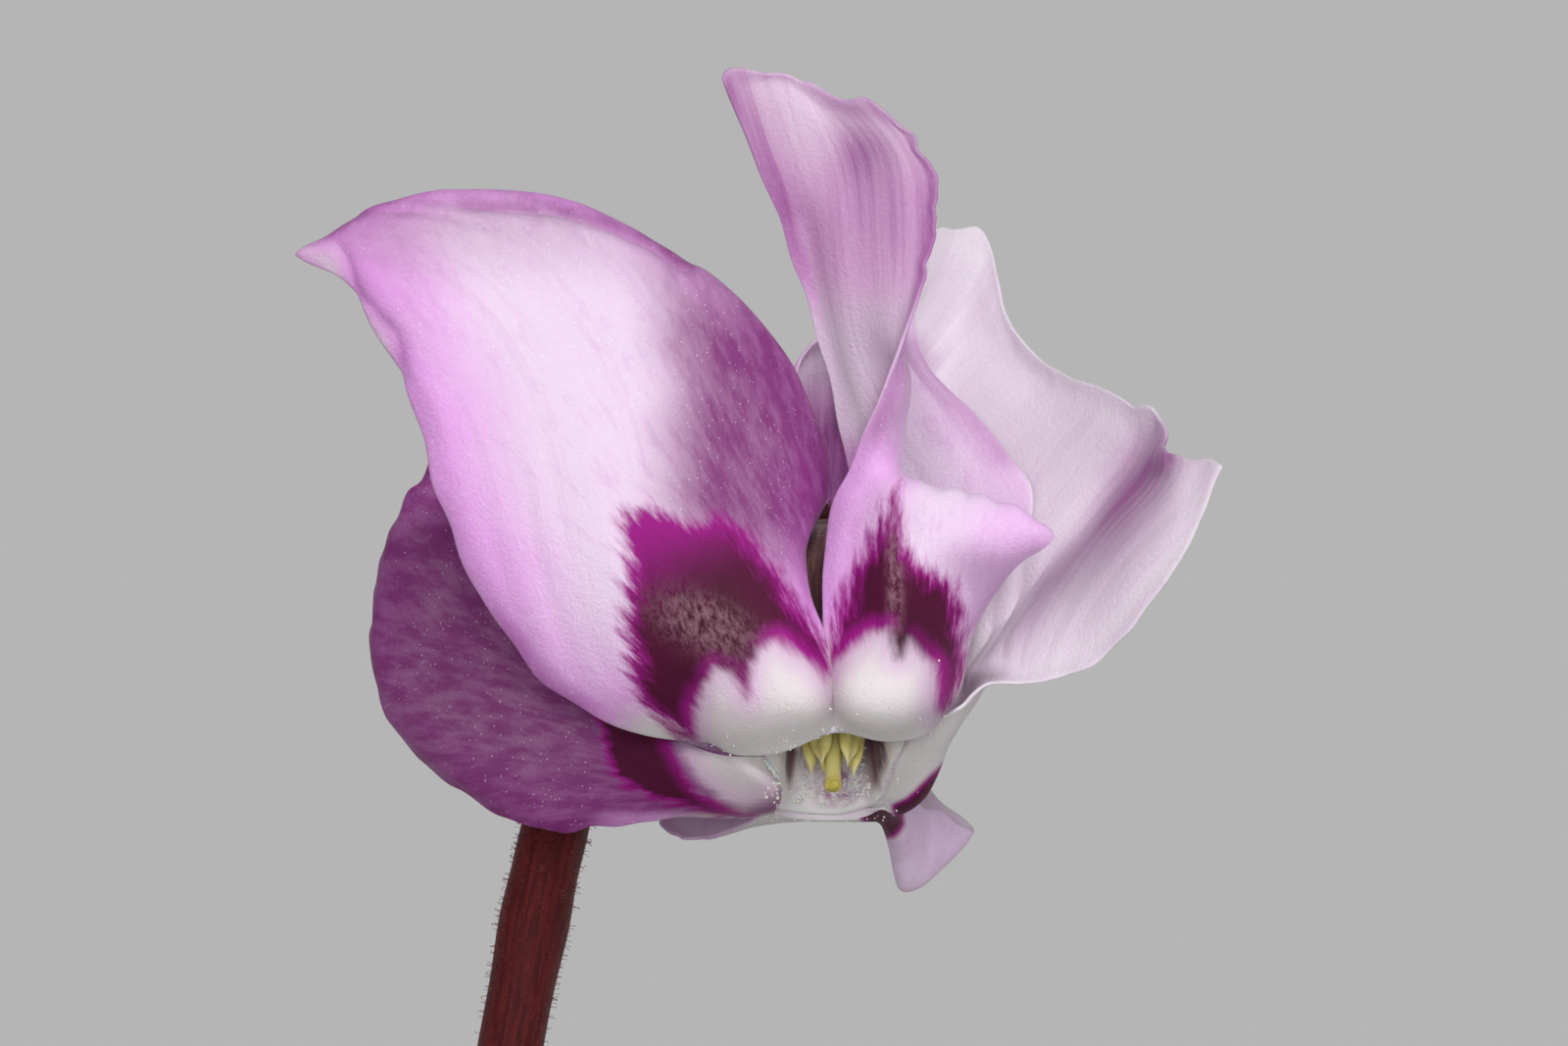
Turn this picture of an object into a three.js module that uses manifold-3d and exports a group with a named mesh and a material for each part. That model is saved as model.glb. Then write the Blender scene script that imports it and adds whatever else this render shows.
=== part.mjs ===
// A hardy cyclamen in flower, growing in a plain clay pot.
// Millimetres, +Z up. The pot stands on Z = 0 with its axis on the Z axis.
import * as THREE from 'three';
import { mergeVertices } from 'three/addons/utils/BufferGeometryUtils.js';
import Module from 'manifold-3d';

const wasm = await Module();
wasm.setup();

// ---------------------------------------------------------------- driving dimensions
const GAP = 0.3;                   // clearance between pieces that touch

const POT_HEIGHT = 80;
const POT_RIM_RADIUS = 45;         // outside of the rim band at the top
const POT_BASE_RADIUS = 31;        // outside, at the table
const POT_WALL = 4.5;
const POT_FLOOR = 6;
const RIM_BAND_HEIGHT = 21;
const RIM_BAND_STEP = 2.6;         // how far the band stands out from the wall
const RIM_ROUND = 1.2;
const DRAIN_RADIUS = 6;
const SOIL_LEVEL = 69;             // 11 mm of headspace is left for watering

const TUBER_RADIUS = 21;
const TUBER_HALF_HEIGHT = 11;
const TUBER_CENTRE = 66;           // the crown stands 8 mm proud of the soil

const PETIOLE_RADIUS = 0.95;
const PEDICEL_RADIUS = 0.65;
const STEM_LIFT = 0.7;             // stem ends sit this far over the domed crown

const BLADE_THICKNESS = 0.8;
const PETAL_THICKNESS = 0.3;
const TUBE_LENGTH = 4.0;           // the part of the corolla where the petals are fused
const TUBE_MOUTH_RADIUS = 1.65;
const TUBE_BASE_RADIUS = 1.3;
const CALYX_RADIUS = 1.15;

const COLOURS = {
  clay: { color: 0xb5674a, roughness: 0.92 },
  soil: { color: 0x3a2a20, roughness: 1.0 },
  tuber: { color: 0x5b4535, roughness: 0.95 },
  leaf: { color: 0x3f6142, roughness: 0.6 },
  stalk: { color: 0x6d3a33, roughness: 0.6 },
  calyx: { color: 0x5a2a2c, roughness: 0.7 },
  petal: { color: 0xe6bfe4, roughness: 0.55 },
  tube: { color: 0x6b2c4a, roughness: 0.6 },
  anther: { color: 0xc0a948, roughness: 0.8 },
};

// ---------------------------------------------------------------- solids and meshes
const degrees = (angle) => (angle * Math.PI) / 180;

const group = new THREE.Group();
group.name = 'potted_cyclamen';

function signedVolume(geometry) {
  const position = geometry.attributes.position;
  const corner = [0, 1, 2].map(() => new THREE.Vector3());
  let sum = 0;
  for (let i = 0; i < geometry.index.count; i += 3) {
    corner.forEach((point, k) => point.fromBufferAttribute(position, geometry.index.getX(i + k)));
    sum += corner[0].dot(corner[1].clone().cross(corner[2]));
  }
  return sum / 6;
}

// Keeps positions only, with shared corners merged and every face turned outward.
function closed(geometry) {
  const bare = geometry.clone();
  bare.deleteAttribute('normal');
  bare.deleteAttribute('uv');
  const merged = mergeVertices(bare, 1e-4);
  if (signedVolume(merged) < 0) {
    merged.index.array.reverse();
  }
  return merged;
}

function toManifold(geometry) {
  const solid = closed(geometry);
  return new wasm.Manifold(new wasm.Mesh({
    numProp: 3,
    vertProperties: new Float32Array(solid.attributes.position.array),
    triVerts: new Uint32Array(solid.index.array),
  }));
}

function unite(geometries) {
  const mesh = wasm.Manifold.union(geometries.map(toManifold)).getMesh();
  const geometry = new THREE.BufferGeometry();
  geometry.setAttribute('position', new THREE.BufferAttribute(mesh.vertProperties, 3));
  geometry.setIndex(new THREE.BufferAttribute(mesh.triVerts, 1));
  return geometry;
}

function addPiece(parent, name, geometry, look) {
  const shape = closed(geometry);
  shape.computeVertexNormals();
  const mesh = new THREE.Mesh(shape, new THREE.MeshStandardMaterial({ metalness: 0, ...COLOURS[look] }));
  mesh.name = name;
  parent.add(mesh);
  return mesh;
}

// A body of revolution about Z. Each profile point is [radius, height].
function turned(profile, segments) {
  const points = profile.map(([radius, height]) => new THREE.Vector2(radius, height));
  return new THREE.LatheGeometry(points, segments).rotateX(Math.PI / 2);
}

// A round stem of constant radius along a smooth curve through the given points.
function stem(points, radius, steps, sides = 6) {
  const section = new THREE.Shape();
  for (let i = 0; i < sides; i += 1) {
    const angle = (2 * Math.PI * i) / sides;
    const place = [radius * Math.cos(angle), radius * Math.sin(angle)];
    i === 0 ? section.moveTo(...place) : section.lineTo(...place);
  }
  section.closePath();
  const extrudePath = new THREE.CatmullRomCurve3(points.map((p) => new THREE.Vector3(...p)));
  return new THREE.ExtrudeGeometry(section, { steps, extrudePath });
}

// A thin closed solid around a grid of points: grid[row][column], thinner at its margin.
function sheet(grid, thickness) {
  const rows = grid.length;
  const columns = grid[0].length;
  const clamp = (value, count) => Math.min(Math.max(value, 0), count - 1);
  const at = (i, j) => grid[clamp(i, rows)][clamp(j, columns)];
  const positions = [];
  for (const side of [0.5, -0.5]) {
    for (let i = 0; i < rows; i += 1) {
      for (let j = 0; j < columns; j += 1) {
        const along = at(i + 1, j).clone().sub(at(i - 1, j));
        const across = at(i, j + 1).clone().sub(at(i, j - 1));
        const onMargin = i === 0 || j === 0 || i === rows - 1 || j === columns - 1;
        const offset = side * thickness * (onMargin ? 0.5 : 1);
        positions.push(...along.cross(across).normalize().multiplyScalar(offset).add(at(i, j)).toArray());
      }
    }
  }
  const front = (i, j) => i * columns + j;
  const back = (i, j) => rows * columns + front(i, j);
  const index = [];
  for (let i = 0; i < rows - 1; i += 1) {
    for (let j = 0; j < columns - 1; j += 1) {
      index.push(front(i, j), front(i + 1, j), front(i + 1, j + 1));
      index.push(front(i, j), front(i + 1, j + 1), front(i, j + 1));
      index.push(back(i, j), back(i + 1, j + 1), back(i + 1, j));
      index.push(back(i, j), back(i, j + 1), back(i + 1, j + 1));
    }
  }
  const rim = [];
  for (let j = 0; j < columns - 1; j += 1) rim.push([0, j]);
  for (let i = 0; i < rows - 1; i += 1) rim.push([i, columns - 1]);
  for (let j = columns - 1; j > 0; j -= 1) rim.push([rows - 1, j]);
  for (let i = rows - 1; i > 0; i -= 1) rim.push([i, 0]);
  rim.forEach((here, k) => {
    const next = rim[(k + 1) % rim.length];
    index.push(front(...here), front(...next), back(...next));
    index.push(front(...here), back(...next), back(...here));
  });
  const geometry = new THREE.BufferGeometry();
  geometry.setAttribute('position', new THREE.Float32BufferAttribute(positions, 3));
  geometry.setIndex(index);
  return geometry;
}

// A smooth grid through a coarse net of points, net[row][column] = [x, y, z].
function smoothGrid(net, rows, columns) {
  const curve = (points) => new THREE.CatmullRomCurve3(points);
  const rowCurves = net.map((row) => curve(row.map((p) => new THREE.Vector3(...p))));
  const grid = Array.from({ length: rows }, () => []);
  for (let j = 0; j < columns; j += 1) {
    const column = curve(rowCurves.map((row) => row.getPoint(j / (columns - 1))));
    for (let i = 0; i < rows; i += 1) grid[i].push(column.getPoint(i / (rows - 1)));
  }
  return grid;
}

// ---------------------------------------------------------------- pot, soil and tuber
const bandBottom = POT_HEIGHT - RIM_BAND_HEIGHT;
const wallTopRadius = POT_RIM_RADIUS - RIM_BAND_STEP - 1.5;
const innerTopRadius = POT_RIM_RADIUS - POT_WALL;
const innerBaseRadius = POT_BASE_RADIUS - POT_WALL;

function potInnerRadius(height) {
  const share = (height - POT_FLOOR) / (POT_HEIGHT - POT_FLOOR);
  return THREE.MathUtils.lerp(innerBaseRadius, innerTopRadius, share);
}

function potShape() {
  const base = new THREE.Vector2(POT_BASE_RADIUS, 0);
  const top = new THREE.Vector2(wallTopRadius, bandBottom);
  const wall = base.clone().lerp(top, 0.03);
  return turned([
    [DRAIN_RADIUS, 0], [POT_BASE_RADIUS - 1.5, 0], [wall.x, wall.y], [top.x, top.y],
    [top.x + RIM_BAND_STEP - 0.4, bandBottom + 0.2], [top.x + RIM_BAND_STEP, bandBottom + 1.2],
    [POT_RIM_RADIUS, POT_HEIGHT - RIM_ROUND], [POT_RIM_RADIUS - RIM_ROUND, POT_HEIGHT],
    [innerTopRadius + RIM_ROUND, POT_HEIGHT], [innerTopRadius, POT_HEIGHT - RIM_ROUND],
    [innerBaseRadius, POT_FLOOR + 2], [innerBaseRadius - 2, POT_FLOOR],
    [DRAIN_RADIUS, POT_FLOOR], [DRAIN_RADIUS, 0],
  ], 40);
}

// Height of the tuber's upper side at a distance from its axis.
function crownHeight(radius) {
  return TUBER_CENTRE + TUBER_HALF_HEIGHT * Math.sqrt(1 - (radius / TUBER_RADIUS) ** 2);
}

function soilShape() {
  const profile = [
    [0, POT_FLOOR + GAP],
    [innerBaseRadius - 2 - GAP, POT_FLOOR + GAP],
    [potInnerRadius(POT_FLOOR + 3) - 2 * GAP, POT_FLOOR + 3],
    [potInnerRadius(SOIL_LEVEL) - 2 * GAP, SOIL_LEVEL - 1],
    [potInnerRadius(SOIL_LEVEL) - 3, SOIL_LEVEL],
    [TUBER_RADIUS + 4, SOIL_LEVEL + 0.8],
  ];
  const clear = 2 * GAP;
  const lip = Math.asin((SOIL_LEVEL + 1 - TUBER_CENTRE) / (TUBER_HALF_HEIGHT + clear));
  const steps = 7;
  for (let k = 0; k <= steps; k += 1) {
    const angle = THREE.MathUtils.lerp(lip, -Math.PI / 2, k / steps);
    profile.push([
      k === steps ? 0 : (TUBER_RADIUS + clear) * Math.cos(angle),
      TUBER_CENTRE + (TUBER_HALF_HEIGHT + clear) * Math.sin(angle),
    ]);
  }
  return turned(profile, 32);
}

function tuberShape() {
  const ball = new THREE.SphereGeometry(1, 24, 12).rotateX(Math.PI / 2);
  return ball.scale(TUBER_RADIUS, TUBER_RADIUS, TUBER_HALF_HEIGHT).translate(0, 0, TUBER_CENTRE);
}

addPiece(group, 'pot', potShape(), 'clay');
addPiece(group, 'soil', soilShape(), 'soil');
addPiece(group, 'tuber', tuberShape(), 'tuber');

// ---------------------------------------------------------------- leaves
// Three tiers of leaves. reach and height place the joint of petiole and blade; root is the
// ring on the crown where the petiole starts, and vary is how far the leaves stray from the
// tier's plain form. The outer leaves on the X and Y axes don't stray, so that the plant's box
// is centred on the pot.
const LEAF_TIERS = [
  { count: 8, firstAngle: 0, root: 12, reach: 44, height: 92, width: 35, tilt: 30, vary: 1 },
  { count: 6, firstAngle: 22.5, root: 8.6, reach: 32, height: 106, width: 34, tilt: 22, vary: 1.5 },
  { count: 4, firstAngle: 0, root: 5.6, reach: 20.5, height: 117, width: 31, tilt: 14, vary: 1.7 },
];
const BLADE_OFFSET = 0.22;         // joint to blade centre, as a share of the blade's width
const SINUS_ANGLE = 11;            // half of the notch where the petiole comes in

// Distance from the joint to the leaf margin. Angle 0 points at the leaf's tip.
function leafMargin(angle, width) {
  const offset = BLADE_OFFSET * width;
  const circle = offset * Math.cos(angle) + Math.sqrt((width / 2) ** 2 - (offset * Math.sin(angle)) ** 2);
  const point = 0.05 * Math.exp(-((angle / 0.22) ** 2));
  const lobe = THREE.MathUtils.smoothstep(Math.abs(angle), degrees(125), degrees(180 - SINUS_ANGLE));
  return circle * (1 + point) * (1 - 0.22 * lobe);
}

// Blade in its own frame: joint at the origin, tip along +Y, upper side +Z.
function bladeShape({ width, dome, wave, phase }) {
  const rings = 3;
  const spokes = 14;
  const limit = degrees(180 - SINUS_ANGLE);
  const positions = [];
  for (const side of [0.5, -0.5]) {
    positions.push(0, 0, side * BLADE_THICKNESS);
    for (let i = 1; i <= rings; i += 1) {
      for (let j = 0; j <= spokes; j += 1) {
        const angle = THREE.MathUtils.lerp(-limit, limit, j / spokes);
        const share = i / rings;
        const radius = share * leafMargin(angle, width);
        const sag = -dome * share ** 2 + wave * share ** 2 * Math.cos(3 * angle + phase);
        const thick = side * BLADE_THICKNESS * (i === rings ? 0.6 : 1);
        positions.push(radius * Math.sin(angle), radius * Math.cos(angle), sag + thick);
      }
    }
  }
  const perSide = 1 + rings * (spokes + 1);
  const top = (i, j) => (i === 0 ? 0 : 1 + (i - 1) * (spokes + 1) + j);
  const under = (i, j) => perSide + top(i, j);
  const index = [];
  for (let j = 0; j < spokes; j += 1) {
    index.push(top(0, 0), top(1, j + 1), top(1, j), under(0, 0), under(1, j), under(1, j + 1));
    for (let i = 1; i < rings; i += 1) {
      index.push(top(i, j), top(i + 1, j + 1), top(i + 1, j), top(i, j), top(i, j + 1), top(i + 1, j + 1));
      index.push(under(i, j), under(i + 1, j), under(i + 1, j + 1));
      index.push(under(i, j), under(i + 1, j + 1), under(i, j + 1));
    }
  }
  const rim = [];
  for (let i = 0; i < rings; i += 1) rim.push([i, 0]);
  for (let j = 0; j < spokes; j += 1) rim.push([rings, j]);
  for (let i = rings; i > 0; i -= 1) rim.push([i, spokes]);
  rim.forEach((here, k) => {
    const next = rim[(k + 1) % rim.length];
    index.push(top(...here), top(...next), under(...next), top(...here), under(...next), under(...here));
  });
  const geometry = new THREE.BufferGeometry();
  geometry.setAttribute('position', new THREE.Float32BufferAttribute(positions, 3));
  geometry.setIndex(index);
  return geometry;
}

// A repeatable value between -1 and 1 for leaf or flower number n.
const sway = (n, salt) => Math.sin(n * 12.9 + salt * 7.7);

const polar = (radius, angle, height) => [
  radius * Math.cos(degrees(angle)), radius * Math.sin(degrees(angle)), height,
];

function leafShape(tier, plainAngle, number) {
  const onAxis = tier === LEAF_TIERS[0] && number % 2 === 1;
  const loose = onAxis ? 0 : tier.vary;
  const angle = plainAngle + 4 * loose * sway(number, 4);
  const width = tier.width + 1.2 * loose * sway(number, 1) - 1.2 * loose;
  const height = tier.height + 1.5 * loose * sway(number, 2);
  const tilt = tier.tilt + 4 * loose * sway(number, 3);
  const roll = 6 * loose * sway(number, 5);
  const rootHeight = crownHeight(tier.root) + STEM_LIFT;
  const blade = bladeShape({ width, dome: 0.06 * width, wave: 0.8, phase: number });
  blade.translate(0, -1.2, 0);
  blade.rotateY(degrees(roll)).rotateX(degrees(-tilt)).rotateZ(degrees(angle - 90));
  blade.translate(...polar(tier.reach, angle, height));
  const rise = height - rootHeight;
  const run = tier.reach - tier.root;
  const petiole = stem([
    polar(tier.root, angle, rootHeight),
    polar(tier.root + 0.14 * run, angle, rootHeight + 0.3 * rise),
    polar(tier.root + 0.5 * run, angle, rootHeight + 0.76 * rise),
    polar(tier.reach, angle, height - 0.75),
  ], PETIOLE_RADIUS, 7);
  return unite([blade, petiole]);
}

let leafNumber = 0;
for (const tier of LEAF_TIERS) {
  for (let k = 0; k < tier.count; k += 1) {
    leafNumber += 1;
    const angle = tier.firstAngle + (360 / tier.count) * k;
    const name = `leaf_${String(leafNumber).padStart(2, '0')}`;
    addPiece(group, name, leafShape(tier, angle, leafNumber), 'leaf');
  }
}

// ---------------------------------------------------------------- pieces shared by all flowers
// A flower's own frame: mouth of the corolla at the origin, calyx above it on +Z.
const CALYX_HEIGHT = TUBE_LENGTH + 1.5 * GAP;

function corollaTubeShape(lip) {
  const wall = 0.35;
  return turned([
    [TUBE_MOUTH_RADIUS, lip], [TUBE_BASE_RADIUS, TUBE_LENGTH], [TUBE_BASE_RADIUS - wall, TUBE_LENGTH],
    [TUBE_MOUTH_RADIUS - wall, lip], [TUBE_MOUTH_RADIUS, lip],
  ], 14);
}

// A small disc under the pedicel with five pointed sepals that lie along the tube.
function calyxShape() {
  const disc = new THREE.CylinderGeometry(CALYX_RADIUS, CALYX_RADIUS, 0.7, 10).rotateX(Math.PI / 2);
  const pieces = [disc.translate(0, 0, CALYX_HEIGHT + 0.35)];
  for (let k = 0; k < 5; k += 1) {
    const grid = [
      [0.75, CALYX_HEIGHT + 0.4, 0.45], [1.9, TUBE_LENGTH + 0.1, 0.62],
      [2.1, TUBE_LENGTH - 1.5, 0.5], [2.15, TUBE_LENGTH - 2.5, 0.1],
    ].map(([out, up, half]) => [-1, 0, 1].map((side) => new THREE.Vector3(out - 0.12 * side ** 2, side * half, up)));
    pieces.push(sheet(grid, 0.3).rotateZ(degrees(72 * k + 36)));
  }
  return unite(pieces);
}

// A hollow cone of anthers, with room for the style through it.
function antherShape() {
  const bore = 0.18 + GAP;
  return turned([[0.72, 0.5], [0.82, 2.0], [0.64, 3.3], [bore, 3.3], [bore, 0.1], [0.6, 0.1], [0.72, 0.5]], 10);
}

function styleShape() {
  return turned([[0, -0.35], [0.24, -0.35], [0.24, -0.15], [0.17, 0.1], [0.17, 3.6], [0, 3.6]], 8);
}

// ---------------------------------------------------------------- the flower in front
// It faces -Y. Each petal is a net of points: rows run from the mouth to the tip, and columns
// from one margin to the other, in the flower's upright frame.
const FRONT_FLOWER = new THREE.Vector3(18, -14, 150);
const FRONT_MOUTH = new THREE.Vector3(0, 0, -0.375);
const FRONT_NOD = 28;              // degrees that the mouth turns up toward the front

const FRONT_PETALS = {
  front_left: [
    [[-2.3, -0.9, 0.3], [-1.1, -1.5, 0.1], [-0.1, -1.5, 0.5]],
    [[-3.6, -1.2, 0.4], [-1.8, -2.8, 1.7], [-0.2, -2.0, 2.2]],
    [[-6.3, -2.0, 2.3], [-3.2, -2.4, 4.2], [-0.3, -0.6, 4.7]],
    [[-8.0, -2.2, 6.7], [-4.3, -1.7, 8.0], [-1.1, 0.4, 8.1]],
    [[-9.3, -2.0, 9.0], [-7.3, -1.4, 10.2], [-5.2, -0.1, 10.6]],
    [[-10.3, -1.7, 9.7], [-9.1, -1.3, 10.4], [-7.6, -0.8, 10.8]],
  ],
  front_right: [
    [[0.2, -1.5, 0.5], [1.0, -1.5, 0.3], [2.0, -0.8, 0.7]],
    [[0.2, -2.0, 2.1], [1.2, -2.7, 2.1], [2.6, -0.9, 2.2]],
    [[0.2, -1.3, 4.2], [1.3, -2.4, 4.2], [3.6, -2.0, 3.7]],
    [[0.6, -1.7, 5.8], [1.3, -1.1, 6.2], [1.2, 0.1, 5.0]],
    [[1.5, -1.5, 8.1], [0.9, -0.4, 8.1], [0.0, 0.8, 7.0]],
    [[2.0, -0.9, 10.9], [0.5, -0.2, 11.6], [-1.4, 0.3, 11.3]],
    [[1.4, -0.6, 12.0], [-0.1, -0.1, 12.6], [-2.1, 0.1, 13.0]],
  ],
  right: [
    [[2.2, -0.5, 0.6], [1.6, 0.3, -0.4], [1.2, 1.3, -0.9]],
    [[2.8, -0.2, 1.0], [2.4, 1.8, 0.0], [1.5, 3.2, -0.5]],
    [[3.9, -0.3, 1.4], [3.1, 2.9, 2.8], [1.7, 4.6, 3.4]],
    [[6.0, -0.9, 2.8], [5.0, 2.7, 5.4], [2.2, 5.7, 7.2]],
    [[7.5, -0.8, 5.6], [5.5, 2.6, 6.8], [3.0, 6.6, 10.0]],
  ],
  left: [
    [[-1.3, 0.9, -1.1], [-1.4, 0.1, -0.6], [-1.6, -0.4, -0.2]],
    [[-2.2, 1.0, -1.2], [-2.2, -0.1, -0.5], [-2.7, 0.2, 0.2]],
    [[-4.0, 1.4, -1.4], [-4.7, 1.3, 0.3], [-4.7, 2.6, 2.2]],
    [[-6.9, 2.4, -0.9], [-7.8, 2.7, 1.4], [-7.0, 4.3, 4.3]],
    [[-8.7, 3.7, 0.6], [-9.0, 3.9, 2.2], [-8.0, 5.3, 5.5]],
  ],
  back: [
    [[-0.9, 1.5, -1.2], [0.0, 2.1, -1.4], [0.6, 1.8, -1.3]],
    [[-2.0, 2.2, -1.5], [0.0, 3.9, -1.2], [1.2, 2.9, -1.5]],
    [[-3.0, 4.6, -1.7], [0.2, 6.6, -0.2], [2.4, 5.4, -1.8]],
    [[-3.0, 6.8, 0.1], [0.1, 8.9, 2.9], [2.2, 7.6, 0.6]],
    [[-1.2, 7.8, 5.3], [-0.1, 9.2, 6.9], [1.1, 8.9, 5.5]],
    [[-0.6, 7.8, 7.3], [-0.2, 8.5, 8.1], [0.4, 8.7, 7.3]],
  ],
};

const frontFlower = new THREE.Group();
frontFlower.position.copy(FRONT_FLOWER);
group.add(frontFlower);
for (const [side, net] of Object.entries(FRONT_PETALS)) {
  addPiece(frontFlower, `flower_1_petal_${side}`, sheet(smoothGrid(net, 12, 7), PETAL_THICKNESS), 'petal');
}

const frontCore = new THREE.Group();
frontCore.position.copy(FRONT_MOUTH);
frontCore.rotation.x = degrees(-FRONT_NOD);
frontFlower.add(frontCore);
addPiece(frontCore, 'flower_1_corolla_tube', corollaTubeShape(0.6), 'tube');
addPiece(frontCore, 'flower_1_calyx', calyxShape(), 'calyx');
addPiece(frontCore, 'flower_1_anthers', antherShape(), 'anther');
addPiece(frontCore, 'flower_1_style', styleShape(), 'anther');

// The pedicel leaves the crown, passes behind the left petals and hooks over to the calyx.
const FRONT_PEDICEL = [
  [-6.2, 6.0, -5.4], [-5.2, 6.7, -0.8], [-4.0, 6.5, 2.6], [-2.0, 5.0, 5.0],
];
const PEDICEL_END = CALYX_HEIGHT + 0.7 + GAP;
const overMouth = (up) => new THREE.Vector3(0, 0, up)
  .applyAxisAngle(new THREE.Vector3(1, 0, 0), degrees(-FRONT_NOD)).add(FRONT_MOUTH);
const frontPath = [
  polar(5, -38, crownHeight(5) + STEM_LIFT),
  polar(9, -38, 112),
  ...FRONT_PEDICEL.concat([overMouth(PEDICEL_END + 0.9), overMouth(PEDICEL_END)])
    .map((p) => FRONT_FLOWER.clone().add(new THREE.Vector3(...p)).toArray()),
];
addPiece(group, 'flower_1_pedicel', stem(frontPath, PEDICEL_RADIUS, 34), 'stalk');

// ---------------------------------------------------------------- the other flowers and the buds
// Stations along a petal from the mouth to the tip: distance out from the flower's axis,
// height, half width and twist in degrees.
const PETAL_STATIONS = [
  [1.45, 0.3, 0.8, 0], [2.8, -0.3, 1.4, 0], [3.6, 1.4, 1.9, 6], [4.6, 4.8, 3.2, 18],
  [6.0, 8.4, 3.5, 32], [7.0, 11.4, 2.2, 44], [7.4, 13.0, 0.5, 52],
];
// The two petals at the back stand apart, and the stalk hooks out between them.
const PETAL_ANGLES = [0, 62, 122, 238, 298];

function petalNet({ spread, turn }) {
  return PETAL_STATIONS.map(([out, up, half, twist]) => [-1, 0, 1].map((side) => {
    const angle = degrees(twist * turn);
    const reach = out + spread * (up > 1 ? up / 12 : 0);
    const cup = 0.12 * half * side ** 2;
    return [reach + side * half * Math.sin(angle) - cup, side * half * Math.cos(angle), up];
  }));
}

function corollaShape(number) {
  const pieces = [corollaTubeShape(-0.1)];
  PETAL_ANGLES.forEach((angle, k) => {
    const seed = number * PETAL_ANGLES.length + k;
    const net = petalNet({ spread: 1.6 * sway(seed, 1), turn: 1 + 0.25 * sway(seed, 2) });
    pieces.push(sheet(smoothGrid(net, 8, 4), PETAL_THICKNESS).rotateZ(degrees(angle)));
  });
  return unite(pieces);
}

function antherAndStyleShape() {
  return turned([[0, -0.5], [0.25, -0.5], [0.3, 0.1], [0.72, 0.5], [0.8, 2.0], [0.6, 3.3], [0, 3.3]], 10);
}

// Pointed bud, petals rolled together, hanging below its calyx.
const BUD_LENGTH = 12;
function budShape() {
  const base = TUBE_LENGTH;
  return turned([
    [0, base - BUD_LENGTH], [0.9, base - 0.88 * BUD_LENGTH], [2.0, base - 0.6 * BUD_LENGTH],
    [1.9, base - 0.35 * BUD_LENGTH], [TUBE_BASE_RADIUS, base - 0.22 * BUD_LENGTH],
    [TUBE_BASE_RADIUS, base], [0, base],
  ], 10);
}

// place is the mouth of the flower, or the same point of a bud: distance from the pot's axis,
// angle and height. root and bend are [distance, angle] on the crown and at leaf height.
const LEAF_TOP = 112;
const STALKS = [
  { name: 'flower_2', place: [28, -128, 143], root: [5, -128], bend: [9, -128], nod: 24 },
  { name: 'flower_3', place: [29, 160, 147], root: [5, 155], bend: [9, 158], nod: 30 },
  { name: 'flower_4', place: [30, 111, 149], root: [5, 115], bend: [9, 113], nod: 26 },
  { name: 'flower_5', place: [31, 38, 127], root: [5, 38], bend: [9, 38], nod: 34 },
  { name: 'flower_6', place: [11.5, 198, 153], root: [1.6, 190], bend: [4, 195], nod: 18 },
  { name: 'bud_1', place: [9, 65, 130], root: [1.8, 62], bend: [5, 65], nod: 12 },
  { name: 'bud_2', place: [25, -70, 130], root: [1.8, -70], bend: [5, -70], nod: 20 },
  { name: 'bud_3', place: [32, 206, 135], root: [5, 205], bend: [8.5, 206], nod: 20 },
];
// The hooked top of a stalk, in the flower's frame: distance out and height.
const HOOK = [[-7.5, 0.6], [-6.7, 5.2], [-4.2, 8.0], [-1.5, 8.4], [0, PEDICEL_END + 0.9], [0, PEDICEL_END]];

STALKS.forEach(({ name, place, root, bend, nod }, order) => {
  const [radius, angle, height] = place;
  const head = new THREE.Group();
  head.position.set(...polar(radius, angle, height));
  head.rotation.set(0, degrees(-nod), degrees(angle), 'ZYX');
  group.add(head);
  addPiece(head, `${name}_calyx`, calyxShape(), 'calyx');
  if (name.startsWith('bud')) {
    addPiece(head, `${name}_petals`, budShape(), 'petal');
  } else {
    addPiece(head, `${name}_corolla`, corollaShape(order), 'petal');
    addPiece(head, `${name}_stamens_and_style`, antherAndStyleShape(), 'anther');
  }
  head.updateMatrix();
  const path = [
    polar(root[0], root[1], crownHeight(root[0]) + STEM_LIFT),
    polar(bend[0], bend[1], LEAF_TOP),
    ...HOOK.map(([out, up]) => new THREE.Vector3(out, 0, up).applyMatrix4(head.matrix).toArray()),
  ];
  addPiece(group, `${name}_pedicel`, stem(path, PEDICEL_RADIUS, 22), 'stalk');
});

export default group;
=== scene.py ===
# %% [markdown]
# # A hardy cyclamen in a clay pot
# The photo is a close-up of one flower: five petals turned back over a nodding mouth, each
# with a dark blotch round a white nose. This notebook models that flower from the photo and
# the rest of the plant from the packed CAD model, which gives every piece its place.
# All sizes below are millimetres in the CAD's frame; Blender gets metres.

import math

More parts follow.
